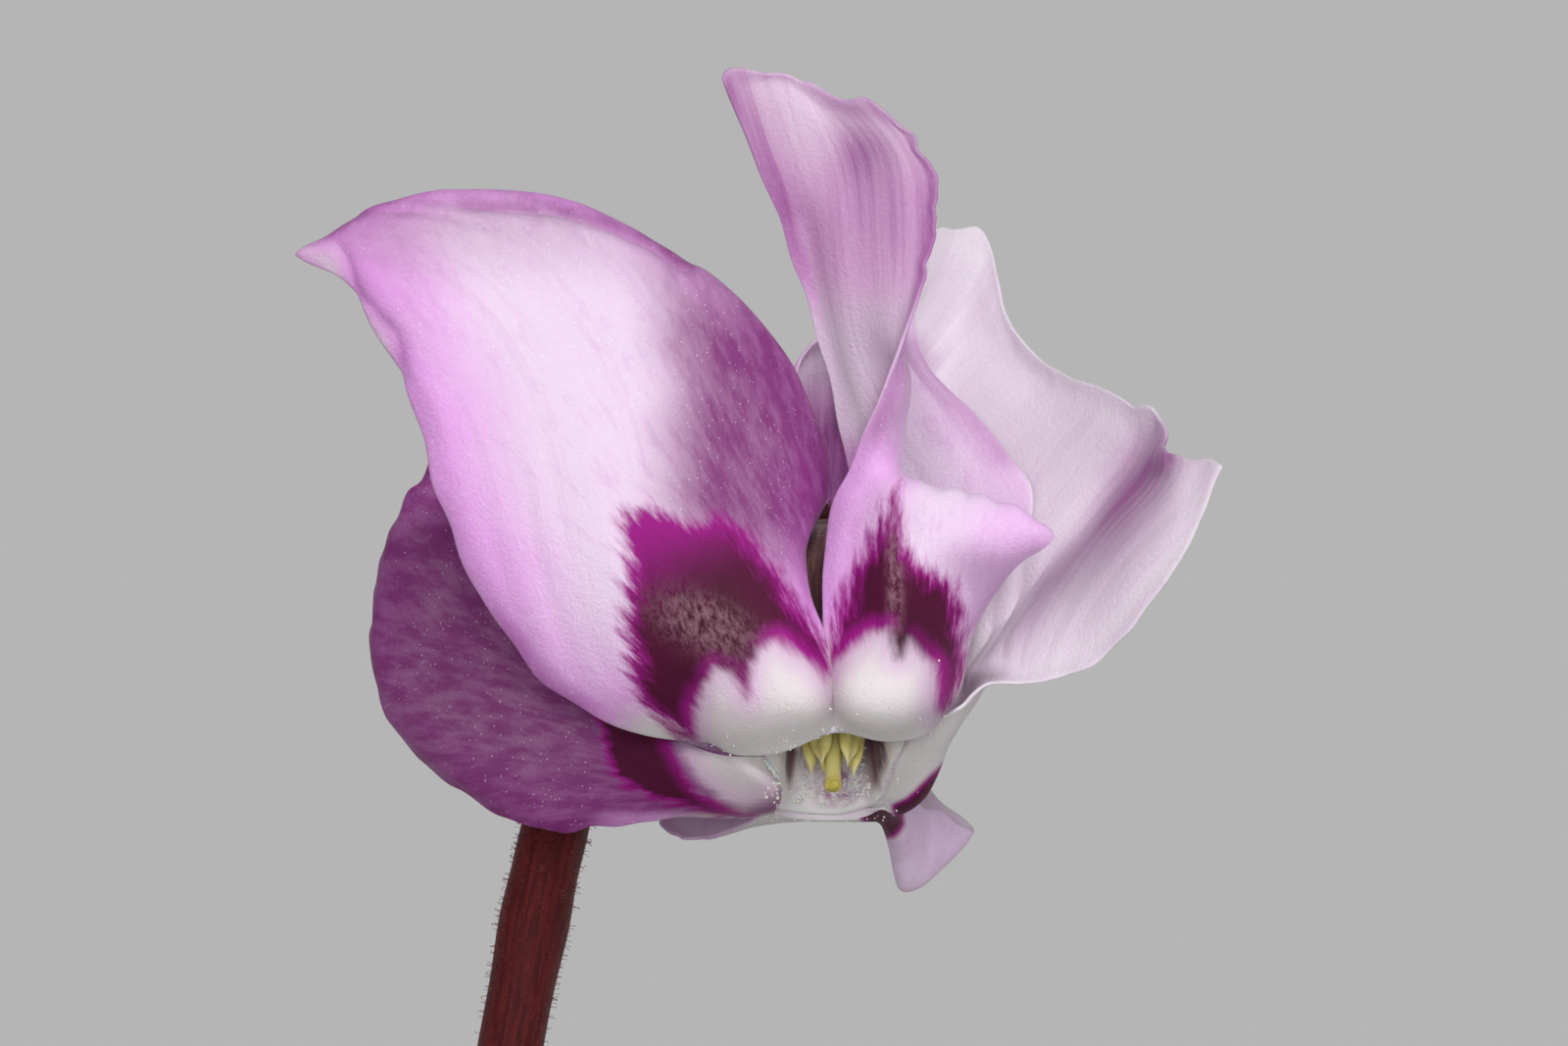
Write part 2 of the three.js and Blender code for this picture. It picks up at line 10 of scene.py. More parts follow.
import bpy
import numpy as np
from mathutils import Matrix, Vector


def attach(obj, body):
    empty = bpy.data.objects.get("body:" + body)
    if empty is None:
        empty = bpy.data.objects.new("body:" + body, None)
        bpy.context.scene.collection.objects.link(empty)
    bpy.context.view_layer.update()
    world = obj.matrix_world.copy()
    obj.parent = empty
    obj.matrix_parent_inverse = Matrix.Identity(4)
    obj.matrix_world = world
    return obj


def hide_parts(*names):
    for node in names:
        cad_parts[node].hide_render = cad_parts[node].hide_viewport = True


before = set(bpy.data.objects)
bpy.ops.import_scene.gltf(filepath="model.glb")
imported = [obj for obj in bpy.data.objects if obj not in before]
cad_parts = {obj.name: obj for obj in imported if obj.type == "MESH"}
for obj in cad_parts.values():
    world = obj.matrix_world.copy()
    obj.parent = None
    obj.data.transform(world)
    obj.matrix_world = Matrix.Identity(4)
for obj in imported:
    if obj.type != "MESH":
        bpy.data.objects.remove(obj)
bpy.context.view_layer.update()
MM = 0.001

# %% [markdown]
# ## Camera
# The photo looks straight at the flower, level with it. A real close-up lens works from
# about 30 cm, so the camera stands 300 mm away and its frame is 30 mm wide at the flower.
# That makes one photo pixel 0.01875 mm, which turns any point seen in the photo, plus a
# judged depth, into a place in space.

# %% Camera at the photo's place
PHOTO_WIDTH, PHOTO_HEIGHT = 1600, 1067
VIEW_WIDTH = 30.0
CAMERA_DISTANCE = 300.0
PIXEL = VIEW_WIDTH / PHOTO_WIDTH
# The middle of the flower's mouth in the CAD's frame, and the photo pixel that shows it.
FLOWER = np.array([18.0, -14.0, 150.0])
FLOWER_PIXEL = (850, 770)
SENSOR = 36.0
NEAREST, FARTHEST = 0.01, 2000

view_centre = FLOWER + np.array([
    (PHOTO_WIDTH / 2 - FLOWER_PIXEL[0]) * PIXEL, 0, (FLOWER_PIXEL[1] - PHOTO_HEIGHT / 2) * PIXEL])
camera = bpy.data.objects.new("camera", bpy.data.cameras.new("camera"))
bpy.context.scene.collection.objects.link(camera)
bpy.context.scene.camera = camera
camera.location = (view_centre - np.array([0, CAMERA_DISTANCE, 0])) * MM
camera.rotation_euler = (math.pi / 2, 0, 0)
camera.data.sensor_width = SENSOR
camera.data.lens = SENSOR * CAMERA_DISTANCE / VIEW_WIDTH
camera.data.clip_start, camera.data.clip_end = NEAREST, FARTHEST
print("lens", round(camera.data.lens), "mm, one pixel is", PIXEL, "mm")

# %% [markdown]
# ## Shader maths as Python
# Procedural finishes are sums of masks. A small class wraps a node's output so that
# `1 - mask` or `streak * 0.4` adds the right node, and one method makes every other node.

# %% Colours
def paint(red, green, blue):
    """A display colour, 0 to 255, as Blender's linear colour."""
    share = [v / 255 for v in (red, green, blue)]
    return tuple(v / 12.92 if v <= 0.04045 else ((v + 0.055) / 1.055) ** 2.4 for v in share) + (1,)


print("mid grey is", round(paint(128, 128, 128)[0], 3), "in linear light")

# %% Outputs that can be added and multiplied
class Wire:
    """One output of a shader node. Operators on it add Math or Vector Math nodes."""

    def __init__(self, finish, socket):
        self.finish = finish
        self.socket = socket

    def join(self, operation, first, second):
        kinds = [w.socket.type for w in (first, second) if isinstance(w, Wire)]
        flat = all(kind == "VALUE" for kind in kinds)
        kind = "ShaderNodeMath" if flat else "ShaderNodeVectorMath"
        return self.finish.node(kind, {"operation": operation}, {0: first, 1: second})

    def __add__(self, other):
        return self.join("ADD", self, other)

    def __radd__(self, other):
        return self.join("ADD", other, self)

    def __sub__(self, other):
        return self.join("SUBTRACT", self, other)

    def __rsub__(self, other):
        return self.join("SUBTRACT", other, self)

    def __mul__(self, other):
        return self.join("MULTIPLY", self, other)

    def __rmul__(self, other):
        return self.join("MULTIPLY", other, self)

    def low(self, other):
        return self.join("MINIMUM", self, other)

    def size(self):
        return self.join("ABSOLUTE", self, 0)

    def step(self, start, end):
        """Rises smoothly from 0 at start to 1 at end."""
        settings = {"interpolation_type": "SMOOTHSTEP"}
        sockets = {"Value": self, "From Min": start, "From Max": end}
        return self.finish.node("ShaderNodeMapRange", settings, sockets)

    def mix(self, off, on):
        """The colour off where this mask is 0, on where it is 1."""
        return self.finish.node("ShaderNodeMix", {"data_type": "RGBA"}, {0: self, 6: off, 7: on}, 2)


print("a Wire can", ", ".join(name for name in vars(Wire) if "__" not in name))

# %% A finish and its node maker
class Finish:
    """A material built on one Principled shader."""

    def __init__(self, name, **constants):
        self.material = bpy.data.materials.new(name)
        self.material.use_nodes = True
        self.tree = self.material.node_tree
        self.surface = self.tree.nodes["Principled BSDF"]
        for socket, value in constants.items():
            self.surface.inputs[socket.replace("_", " ")].default_value = value

    def node(self, kind, settings, sockets, output=0):
        made = self.tree.nodes.new(kind)
        for key, value in settings.items():
            setattr(made, key, value)
        for key, value in sockets.items():
            socket = made.inputs[key]
            if isinstance(value, Wire):
                self.tree.links.new(value.socket, socket)
            elif isinstance(value, (int, float)) and hasattr(socket.default_value, "__len__"):
                socket.default_value = (value,) * len(socket.default_value)
            else:
                socket.default_value = value
        return Wire(self, made.outputs[output])

    def trait(self, name):
        """A number that the mesh carries at each point."""
        return self.node("ShaderNodeAttribute", {"attribute_name": name}, {}, "Fac")

    def place(self):
        """The point's place in millimetres."""
        return self.node("ShaderNodeTexCoord", {}, {}, "Object") * (1 / MM)

    def vector(self, x, y, z):
        return self.node("ShaderNodeCombineXYZ", {}, {0: x, 1: y, 2: z})

    def cloud(self, where, scale=1.0, detail=2.0, rough=0.5):
        """Soft noise around 0.5."""
        sockets = {"Vector": where, "Scale": scale, "Detail": detail, "Roughness": rough}
        return self.node("ShaderNodeTexNoise", {}, sockets, "Fac")

    def cells(self, where, scale=1.0, feature="F1"):
        sockets = {"Vector": where, "Scale": scale}
        return self.node("ShaderNodeTexVoronoi", {"feature": feature}, sockets, "Distance")

    def relief(self, height, depth):
        """Turns a height from 0 to 1 into bumps of a depth in mm."""
        bump = self.node("ShaderNodeBump", {}, {"Height": height, "Distance": depth * MM}, "Normal")
        self.wear("Normal", bump)

    def wear(self, socket, wire):
        self.tree.links.new(wire.socket, self.surface.inputs[socket])


print("a finish can", ", ".join(name for name in vars(Finish) if "__" not in name))

# %% [markdown]
# ## Mesh helpers
# A petal or leaf is a thin sheet. Blender's Solidify could thicken a grid, but a real margin
# is thinner than the middle, so the second face and the rim are made here, and each face can
# have its own finish. Numbers such as the distance from the margin are stored at the points,
# so the finish can follow the petal's own form.

# %% Smooth curves and grids
def curve_through(points, count):
    """Points along a smooth curve through the given ones, along the first axis."""
    points = np.asarray(points, float)
    last = len(points) - 1
    where = np.linspace(0, last, count)
    start = np.clip(where.astype(int), 0, last - 1)
    share = (where - start).reshape((-1,) + (1,) * (points.ndim - 1))
    padded = np.concatenate([[2 * points[0] - points[1]], points, [2 * points[-1] - points[-2]]])
    gaps = np.linalg.norm(np.diff(padded, axis=0), axis=-1, keepdims=True)
    pace = np.sqrt(np.maximum(gaps, 1e-6))
    a, b, c, d = (padded[start + k] for k in range(4))
    p, q, r = (pace[start + k] for k in range(3))
    leave = ((b - a) / p - (c - a) / (p + q) + (c - b) / q) * q
    arrive = ((c - b) / q - (d - b) / (q + r) + (d - c) / r) * q
    bend = 3 * (c - b) - 2 * leave - arrive
    close = 2 * (b - c) + leave + arrive
    return b + leave * share + bend * share ** 2 + close * share ** 3


def smooth_grid(net, rows, columns):
    """A fine grid through a coarse net of places."""
    fine = curve_through(net, rows)
    return curve_through(fine.transpose(1, 0, 2), columns).transpose(1, 0, 2)


print("a bow through three points:", curve_through([[0, 0], [1, 1], [2, 0]], 5)[:, 1].round(2))

# %% Normals and gentle noise
def unit(vectors):
    return vectors / np.maximum(np.linalg.norm(vectors, axis=-1, keepdims=True), 1e-9)


def sheet_normals(grid, closed=False):
    """Normals of the front: columns run to the right on it and rows run up."""
    along = np.gradient(grid, axis=0)
    if closed:
        across = np.roll(grid, -1, 1) - np.roll(grid, 1, 1)
    else:
        across = np.gradient(grid, axis=1)
    return unit(np.cross(across, along))


def drift(x, y=0.0, seed=0, waves=7, reach=1.0):
    """A smooth repeatable wander of about -1 to 1, from waves up to reach cycles per unit."""
    dice = np.random.default_rng(seed)
    total = 0.0
    for _ in range(waves):
        turn, pace, start = dice.uniform(0, math.tau), dice.uniform(0.25, 1), dice.uniform(0, math.tau)
        beat = math.tau * reach * pace
        total = total + np.sin(beat * (np.cos(turn) * x + np.sin(turn) * y) + start)
    return total / math.sqrt(waves)


def rise(x, start, end):
    """Smooth step from 0 at start to 1 at end."""
    share = np.clip((x - start) / (end - start), 0, 1)
    return share * share * (3 - 2 * share)


sample = drift(np.arange(99.0))
print("drift wanders from", sample.min().round(1), "to", sample.max().round(1))

# %% Collecting a mesh
class Form:
    """Collects vertices, faces, face finishes and point traits for one object."""

    def __init__(self):
        self.points = []
        self.faces = []
        self.slots = []
        self.traits = {}
        self.count = 0

    def add(self, points, faces, slot=0, **traits):
        points = np.asarray(points, float).reshape(-1, 3)
        self.points.append(points)
        self.faces.extend([tuple(i + self.count for i in face) for face in faces])
        self.slots.extend([slot] * len(faces))
        for name, values in traits.items():
            full = np.broadcast_to(np.asarray(values, float).reshape(-1), (len(points),))
            self.traits.setdefault(name, []).append((self.count, full))
        self.count += len(points)

    def build(self, name, finishes, body="root"):
        mesh = bpy.data.meshes.new(name)
        places = np.concatenate(self.points) * MM
        mesh.from_pydata(places.tolist(), [], self.faces)
        mesh.polygons.foreach_set("material_index", self.slots)
        mesh.polygons.foreach_set("use_smooth", [True] * len(self.faces))
        for trait, parts in self.traits.items():
            values = np.zeros(self.count)
            for start, full in parts:
                values[start:start + len(full)] = full
            mesh.attributes.new(trait, "FLOAT", "POINT").data.foreach_set("value", values)
        for finish in finishes:
            mesh.materials.append(finish.material)
        mesh.update()
        made = bpy.data.objects.new(name, mesh)
        bpy.context.scene.collection.objects.link(made)
        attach(made, body)
        return made


def grid_faces(rows, columns, closed=False):
    """Faces of a grid of points; closed joins the last column to the first."""
    spans = columns if closed else columns - 1
    return [(i * columns + j, i * columns + (j + 1) % columns,
             (i + 1) * columns + (j + 1) % columns, (i + 1) * columns + j)
            for i in range(rows - 1) for j in range(spans)]


print("a grid of 3 by 4 points has", len(grid_faces(3, 4)), "faces")

# %% Sheets with two faces
def add_sheet(form, grid, thickness, traits, slots=(0, 1), closed=False, thin=0.35, taper=1.2):
    """A thin closed solid round a grid: front face, back face and a rim that thins out."""
    rows, columns = grid.shape[:2]
    edge = np.broadcast_to(traits["edge"], (rows, columns))
    half = thickness / 2 * (thin + (1 - thin) * rise(edge, 0, taper * thickness))
    offset = sheet_normals(grid, closed) * half[..., None]
    back = rows * columns
    inner = np.arange(back).reshape(rows, columns)
    if closed:
        loops = [np.append(inner[0], inner[0, 0]), np.append(inner[-1], inner[-1, 0])[::-1]]
    else:
        loops = [np.concatenate([inner[0], inner[1:, -1], inner[-1, -2::-1], inner[-2::-1, 0]])]
    seams = [pair for loop in loops for pair in zip(loop.tolist(), loop[1:].tolist())]
    rim = [(p, p + back, q + back, q) for p, q in seams]
    front = grid_faces(rows, columns, closed)
    under = [tuple(i + back for i in face[::-1]) for face in front]
    both = {}
    for name, values in traits.items():
        both[name] = np.tile(np.broadcast_to(values, (rows, columns)).reshape(-1), 2)
    points = np.concatenate([(grid + offset).reshape(-1, 3), (grid - offset).reshape(-1, 3)])
    start = form.count
    form.add(points, front, slots[0], **both)
    shifted = [tuple(i + start for i in face) for face in under + rim]
    form.faces.extend(shifted)
    form.slots.extend([slots[1]] * len(shifted))


def soften(made, rounds=1):
    """Rounds a mesh with a subdivision surface."""
    soft = made.modifiers.new("rounding", "SUBSURF")
    soft.levels = soft.render_levels = rounds


print("sheets get a front, a back and a rim")

# %% [markdown]
# ## The petals' two faces
# A cyclamen petal turns back, so its inner face looks outward. That face is pale in the
# middle, deeper at the margin, and carries the dark blotch with a white nose below it. Its
# skin cells are tiny domes, which give a velvet glow and fine sparkles. The back is paler,
# with lengthwise lines. Both finishes read the same traits of the mesh, in millimetres:
# along and across the petal, edge for the distance to the margin, and blotch and nose for
# how deep a point lies inside those markings.
# The fine sparkles and the grey sheen in the blotch are painted into the colour as painted highlights, and
# shade is painted in where a trait asks for it.

# %% Grain that a petal's two faces share
PETAL_LENGTHWISE = 0.05


def petal_grain(made, patch):
    """Lengthwise veins, soft patches and fine skin."""
    where = made.place()
    flow = made.vector(made.trait("across"), made.trait("along") * PETAL_LENGTHWISE, made.trait("petal"))
    return made.cloud(flow, 2.3, 5, 0.6), made.cloud(where, patch, 3), made.cloud(where, 9, 3, 0.7)


print("veins are drawn out", round(1 / PETAL_LENGTHWISE), "times along a petal")

# %% Ground colour of the inner face
# Painted shade: the share of red, green and blue that a part in shade keeps.
FACE_SHADE = (0.3, 0.09, 0.25)


def petal_ground(made, vein, streak, soft, fine):
    """Pale lilac, flushed toward the margin, with painted shade where the trait asks for it and painted
    sparkles.
    """
    along, edge, pink = made.trait("along"), made.trait("edge"), made.trait("pink")
    flush = 1 - (edge + (soft - 0.5) * 1.4 + (vein - 0.5) * 1.4).step(0.15, 2.4)
    colour = (flush * (0.25 + pink * 0.8)).mix(paint(237, 212, 239), paint(236, 166, 238))
    rim = 1 - (edge + (soft - 0.5) * 0.3).step(0.08, 0.6)
    colour = (rim * pink * (0.3 + soft.step(0.42, 0.62) * 0.7)).mix(colour, paint(190, 104, 188))
    colour = (vein.step(0.5, 0.72) * 0.3).mix(colour, paint(214, 156, 214))
    colour = (streak.step(0.5, 0.7) * 0.2).mix(colour, paint(206, 140, 206))
    colour = (fine.step(0.5, 0.8) * 0.22).mix(colour, paint(252, 240, 252))
    colour = along.step(2.4, 1.1).mix(colour, paint(228, 220, 222))
    # Painted shade, a little streaky, where the shade trait asks for it.
    deep = made.trait("deep") * (0.9 + streak.step(0.3, 0.7) * 0.2)
    colour = deep.mix(colour, colour * FACE_SHADE)
    # Painted sparkles: glints of the domed skin cells, as near-white specks.
    painted_sparkle = (1 - made.cells(made.place(), 8).step(0.07, 0.14)) * soft.step(0.4, 0.54)
    return (painted_sparkle * 0.6).mix(colour, paint(255, 246, 255))


print("deep parts keep", FACE_SHADE, "of their red, green and blue")

# %% Blotch and nose of the inner face
def blotched(made, colour, streak, soft):
    """The feathered blotch: magenta outside, nearly black inside, with a painted grey mottled sheen."""
    blotch, nose, calm, bright = (made.trait(name) for name in ("blotch", "nose", "calm", "bright"))
    feather = (streak - 0.5) * 1.1 * blotch.step(-1.2, 0.2) * (1 - calm)
    ragged = (blotch + feather) * (1 + calm * 3)
    inner = ragged.low(-0.02 - nose - feather * 0.3)
    core = (inner + (soft - 0.5) * 0.2).step(0.02, 0.4) * (1 - bright)
    dye = core.mix(paint(158, 18, 134), paint(82, 12, 50))
    heart = blotch.step(0.4, 1.2) * soft.step(0.4, 0.6) * (1 - bright)
    dye = heart.mix(dye, paint(62, 10, 34))
    flow = made.vector(made.trait("across"), made.trait("along") * 0.4, made.trait("petal"))
    mottle = made.cloud(flow, 9, 4, 0.75)
    # Painted sheen: the velvet reflection of the blotch's skin, as a mottled grey.
    dye = (made.trait("sheen") * mottle.step(0.36, 0.64) * 0.75).mix(dye, paint(158, 118, 132))
    stain = ragged.step(-0.27, 0.17)
    return stain.mix(colour, dye), stain


def nosed(made, colour, streak):
    """The white nose, tinged pink along its lip."""
    along, nose = made.trait("along"), made.trait("nose")
    white = (nose + (streak - 0.5) * 0.3).step(-0.12, 0.2)
    lip = 1 - nose.step(0.1, 0.6)
    cream = (lip * (0.45 + along.step(4, 5) * 0.4)).mix(paint(231, 222, 224), paint(208, 150, 208))
    return white.mix(colour, cream)


print("blotch and nose ready")

# %% Petal inner face
def petal_face():
    """Pale lilac with a feathered dark blotch and a white nose."""
    made = Finish("petal_face", Roughness=0.46, Subsurface_Weight=0.3, Subsurface_Scale=0.0005,
                  Sheen_Weight=0.06, Sheen_Roughness=0.35, Specular_IOR_Level=0.2)
    made.surface.inputs["Subsurface Radius"].default_value = (1.0, 0.55, 0.85)
    vein, soft, fine = petal_grain(made, 0.42)
    streaks = made.vector(made.trait("fan"), made.trait("along") * 0.16, made.trait("petal"))
    streak = made.cloud(streaks, 7.5, 4, 0.65)
    colour = petal_ground(made, vein, streak, soft, fine)
    colour, stain = blotched(made, colour, streak, soft)
    made.wear("Base Color", nosed(made, colour, streak))
    made.wear("Roughness", 0.38 + fine * 0.2 + stain * 0.2)
    skin = 1 - made.cells(made.place(), 15)
    made.relief(skin * 0.5 + vein * 0.8 + fine * 0.5, 0.02)
    return made


petal_front_coat = petal_face()
print("the inner face uses", len(petal_front_coat.tree.nodes), "nodes")

# %% [markdown]
# The back of a petal is nearly white with a lilac flush. Fine lengthwise lines follow its
# veins, closest together toward the tip.

# %% Petal back
# Painted shade on the back: the share of red, green and blue that a part in shade keeps.
BACK_SHADE = (0.42, 0.15, 0.4)


def petal_back():
    """Whitish lilac with lengthwise lines, and painted shade where the shade trait asks for it."""
    made = Finish("petal_back", Roughness=0.5, Subsurface_Weight=0.3, Subsurface_Scale=0.0005,
                  Sheen_Weight=0.1, Sheen_Roughness=0.4, Specular_IOR_Level=0.4)
    made.surface.inputs["Subsurface Radius"].default_value = (1.0, 0.6, 0.85)
    along, across, edge = made.trait("along"), made.trait("across"), made.trait("edge")
    deep, pink, petal = made.trait("deep"), made.trait("pink"), made.trait("petal")
    vein, soft, fine = petal_grain(made, 0.4)
    line = made.cloud(made.vector(across, along * 0.02, petal), 5.5, 4, 0.7)
    flush = (pink + (soft - 0.5) * 0.5).step(0.0, 1.0)
    colour = flush.mix(paint(238, 224, 237), paint(224, 178, 221))
    colour = (line.step(0.46, 0.68) * (0.08 + pink * 0.42)).mix(colour, paint(196, 140, 194))
    colour = (vein.step(0.5, 0.75) * (0.1 + pink * 0.25)).mix(colour, paint(206, 168, 206))
    rim = 1 - (edge + (soft - 0.5) * 0.25).step(0.12, 0.42)
    colour = (rim * (0.02 + pink * 0.8)).mix(colour, paint(186, 110, 182))
    colour = (fine.step(0.5, 0.8) * 0.2).mix(colour, paint(252, 246, 252))
    # Painted shade, a little streaky along the lines.
    deep = deep * (0.82 + line.step(0.35, 0.65) * 0.28)
    colour = deep.mix(colour, colour * BACK_SHADE)
    made.wear("Base Color", colour)
    made.wear("Roughness", 0.4 + fine * 0.2)
    skin = 1 - made.cells(made.place(), 13)
    made.relief(skin * 0.4 + line * 0.5 + fine * 0.4, 0.02)
    return made


PETAL_COATS = [petal_front_coat, petal_back()]
print("petal finishes", [finish.material.name for finish in PETAL_COATS])

# %% [markdown]
# ## Petal sheets
# A petal could be sculpted, but a net of points read off the photo is easier to correct:
# rows run from the mouth to the tip and columns from one margin to the other. A smooth grid
# through the net is then livened with what the net is too coarse for: soft waves, veins
# that stand up a little, and a margin that is never quite straight.

# %% Distances on a sheet
def spans(grid):
    """How far each point of a sheet lies along it, across it and from its margin, in mm."""
    steps = np.linalg.norm(np.diff(grid, axis=0), axis=-1)
    along = np.concatenate([np.zeros((1, grid.shape[1])), np.cumsum(steps, 0)])
    steps = np.linalg.norm(np.diff(grid, axis=1), axis=-1)
    from_left = np.concatenate([np.zeros((len(grid), 1)), np.cumsum(steps, 1)], 1)
    from_right = from_left[:, -1:] - from_left
    edge = np.minimum(np.minimum(from_left, from_right), along[-1] - along)
    return along, (from_left - from_right) / 2, edge


def signed_depth(outline, x, z):
    """How deep points lie inside a closed outline, negative outside, in mm."""
    corners = np.asarray(outline, float)
    inside = np.zeros(x.shape, bool)
    nearest = np.full(x.shape, 1e9)
    for (x1, z1), (x2, z2) in zip(corners, np.roll(corners, -1, 0)):
        reach = (x2 - x1) ** 2 + (z2 - z1) ** 2
        share = np.clip(((x - x1) * (x2 - x1) + (z - z1) * (z2 - z1)) / reach, 0, 1)
        nearest = np.minimum(nearest, np.hypot(x1 + share * (x2 - x1) - x, z1 + share * (z2 - z1) - z))
        crosses = (z1 > z) != (z2 > z)
        turn = x1 + (z - z1) * (x2 - x1) / (z2 - z1 if z2 != z1 else 1e-9)
        inside ^= crosses & (x < turn)
    return np.where(inside, nearest, -nearest)


square = np.stack(np.meshgrid([0, 1, 2], [0, 1, 2], [0]), -1)[:, :, 0]
print("the middle of a 2 mm square is", spans(square)[2].max(), "mm from its margin")

# %% Livening a sheet
VEIN_RELIEF = 0.016
MARGIN_SOFTNESS = 0.35


def livened(grid, seed, wave=0.06, ragged=0.05, tip_ragged=0.08, curl=0.12, teeth=1.1):
    """Adds waves, veins, a rolled-back margin and small irregular scallops along it."""
    along, across, edge = spans(grid)
    face = sheet_normals(grid)
    away = rise(along, 1.5, 4.0)
    lift = wave * away * drift(across, along, seed, reach=0.22)
    lift = lift + VEIN_RELIEF * away * drift(across, along * 0.12, seed + 1, waves=9, reach=1.7)
    lift = lift - curl * away * np.clip(1 - edge / 0.5, 0, 1) ** 2
    near = np.exp(-edge / MARGIN_SOFTNESS) * away
    sideways = unit(np.gradient(grid, axis=1)) * np.sign(across)[..., None]
    lengthways = unit(np.gradient(grid, axis=0))
    at_tip = np.exp(-(along[-1] - along) / 0.5)[..., None]
    bite = drift(along, 0 * along, seed + 2, waves=9, reach=teeth)
    tip_bite = drift(across, 0 * across, seed + 3, waves=9, reach=teeth * 1.3)
    moved = grid + face * lift[..., None]
    moved = moved + ragged * sideways * (near * bite)[..., None] * (1 - at_tip)
    return moved + tip_ragged * lengthways * (near * tip_bite)[..., None] * at_tip


print("veins stand up", VEIN_RELIEF, "mm")

# %% [markdown]
# ## The front flower's five petals
# The nets below are in millimetres from the middle of the flower's mouth: x to the right,
# y away from the camera, z up. Their x and z come from the photo's outlines, their y from
# how the petals overlap and shade each other. Front left is broad and arches over toward
# the left. Front right twists: its foot shows the blotched face and its upper half the
# back. The right petal shows its back, with its left margin folded over forward. The left
# one lies in the shade of its neighbour, and the rear one is seen from below.
# Shade that falls on them, the left one's above all, is painted into their colour by a shade trait, with a
# little painted light where a part lies too deep in shade.

# %% What the camera sees of a sheet
def seen_from_front(places):
    """The x and z at which the camera sees places of the flower's frame."""
    eye = view_centre - FLOWER
    reach = (CAMERA_DISTANCE + places[..., 1]) / CAMERA_DISTANCE
    return (places[..., 0] - eye[0]) / reach + eye[0], (places[..., 2] - eye[2]) / reach + eye[2]


def seen_distance(line, x, z):
    """Distance from seen places to a line through points."""
    nearest = np.full(x.shape, 1e9)
    for (x1, z1), (x2, z2) in zip(line, line[1:]):
        share = ((x - x1) * (x2 - x1) + (z - z1) * (z2 - z1)) / ((x2 - x1) ** 2 + (z2 - z1) ** 2)
        share = np.clip(share, 0, 1)
        nearest = np.minimum(nearest, np.hypot(x1 + share * (x2 - x1) - x, z1 + share * (z2 - z1) - z))
    return nearest


def swell(grid, centres, radius, height):
    """Raises round humps on a sheet, given where the camera sees them."""
    x, z = seen_from_front(grid)
    lift = np.zeros(x.shape)
    for a, b in centres:
        lift += height * np.exp(-(np.hypot(x - a, z - b) / radius) ** 2)
    return grid + sheet_normals(grid) * lift[..., None]


def groove(grid, line, width, depth):
    """Presses a soft groove into a sheet along a seen line."""
    away = seen_distance(line, *seen_from_front(grid))
    return grid - sheet_normals(grid) * (depth * np.exp(-(away / width) ** 2))[..., None]


print("the mouth's middle is seen at", seen_from_front(np.zeros(3)))

# %% Markings read from outlines
# Outlines are as seen from the camera, in mm from the middle of the mouth. The nose's white also
# shows under the tip that rolls over, and a speck far off stands for no nose at all.
TIP_UNDERSIDE = [
    (-10.6, 9.9), (-9.47, 9.76), (-9.28, 9.5), (-9.1, 8.83), (-8.32, 8.0), (-8.22, 7.2),
    (-8.4, 6.8), (-8.8, 7.2), (-9.4, 8.6),
]
NO_NOSE = [(0, 9), (0.1, 9), (0, 9.1)]
NO_PAINTED_SHEEN = (0, 9, 1, 1, 0)
NO_GLOW = (9, 9.5)
BLOTCH_REACH, NOSE_REACH = 6.5, 4.0


def outlined(blotch, nose, painted_sheen_spot=NO_PAINTED_SHEEN, glow=NO_GLOW, root=(0.0, -1.0)):
    """Markings from outlines: a tilted patch of painted grey sheen, a bright top, streaks that fan out
    from a root.
    """
    root_reach = math.dist(np.mean(blotch, 0), root)

    def markings(grid, along):
        x, z = seen_from_front(grid)
        foot = along < BLOTCH_REACH
        inside = np.where(foot, signed_depth(blotch, x, z), -3)
        tip = signed_depth(TIP_UNDERSIDE, x, z)
        white = np.where(along < NOSE_REACH, signed_depth(nose, x, z), tip)
        a, b, wide, tall, tilt = painted_sheen_spot
        tilt = math.radians(tilt)
        right = ((x - a) * math.cos(tilt) + (z - b) * math.sin(tilt)) / wide
        up = ((z - b) * math.cos(tilt) - (x - a) * math.sin(tilt)) / tall
        # A tilted oval of painted grey sheen.
        painted_shine = np.exp(-(right ** 2 + up ** 2) ** 1.5)
        fan = np.arctan2(x - root[0], z - root[1]) * root_reach
        return inside, white, painted_shine * foot, rise(z - 0.45 * x, *glow) * foot, fan
    return markings


print("markings end", BLOTCH_REACH, "mm up a petal")

# %% One front petal
PETAL_ROWS, PETAL_COLUMNS = 128, 72
PETAL_THICKNESS = 0.22
HUMP_RADIUS, HUMP_HEIGHT = 0.55, 0.16


def front_petal(name, net, number, markings, deep, pink, humps=(), grooves=(), calm=0.0, crimp=None,
                **margin):
    """One petal of the front flower as a fine sheet with its traits."""
    plain = smooth_grid(net, PETAL_ROWS, PETAL_COLUMNS)
    along, across, edge = spans(plain)
    grid = swell(livened(plain, number, **margin), humps, HUMP_RADIUS, HUMP_HEIGHT)
    for line, width, depth in grooves:
        grid = groove(grid, line, width, depth)
    if crimp:
        grid = crimp(grid)
    blotch, nose, sheen, bright, fan = markings(grid, along)
    if callable(deep):
        deep = deep(*seen_from_front(grid), grid[..., 1])
    if callable(pink):
        pink = pink(*seen_from_front(grid))
    traits = dict(along=along, across=across, edge=edge, blotch=blotch, nose=nose, sheen=sheen,
                  bright=bright, deep=deep, pink=pink, petal=number, calm=calm, fan=fan)
    form = Form()
    add_sheet(form, grid + FLOWER, PETAL_THICKNESS, traits, taper=4)
    made = form.build(name, PETAL_COATS)
    soften(made)
    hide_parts(name)
    return grid


print("a front petal has", PETAL_ROWS, "by", PETAL_COLUMNS, "points on each side")

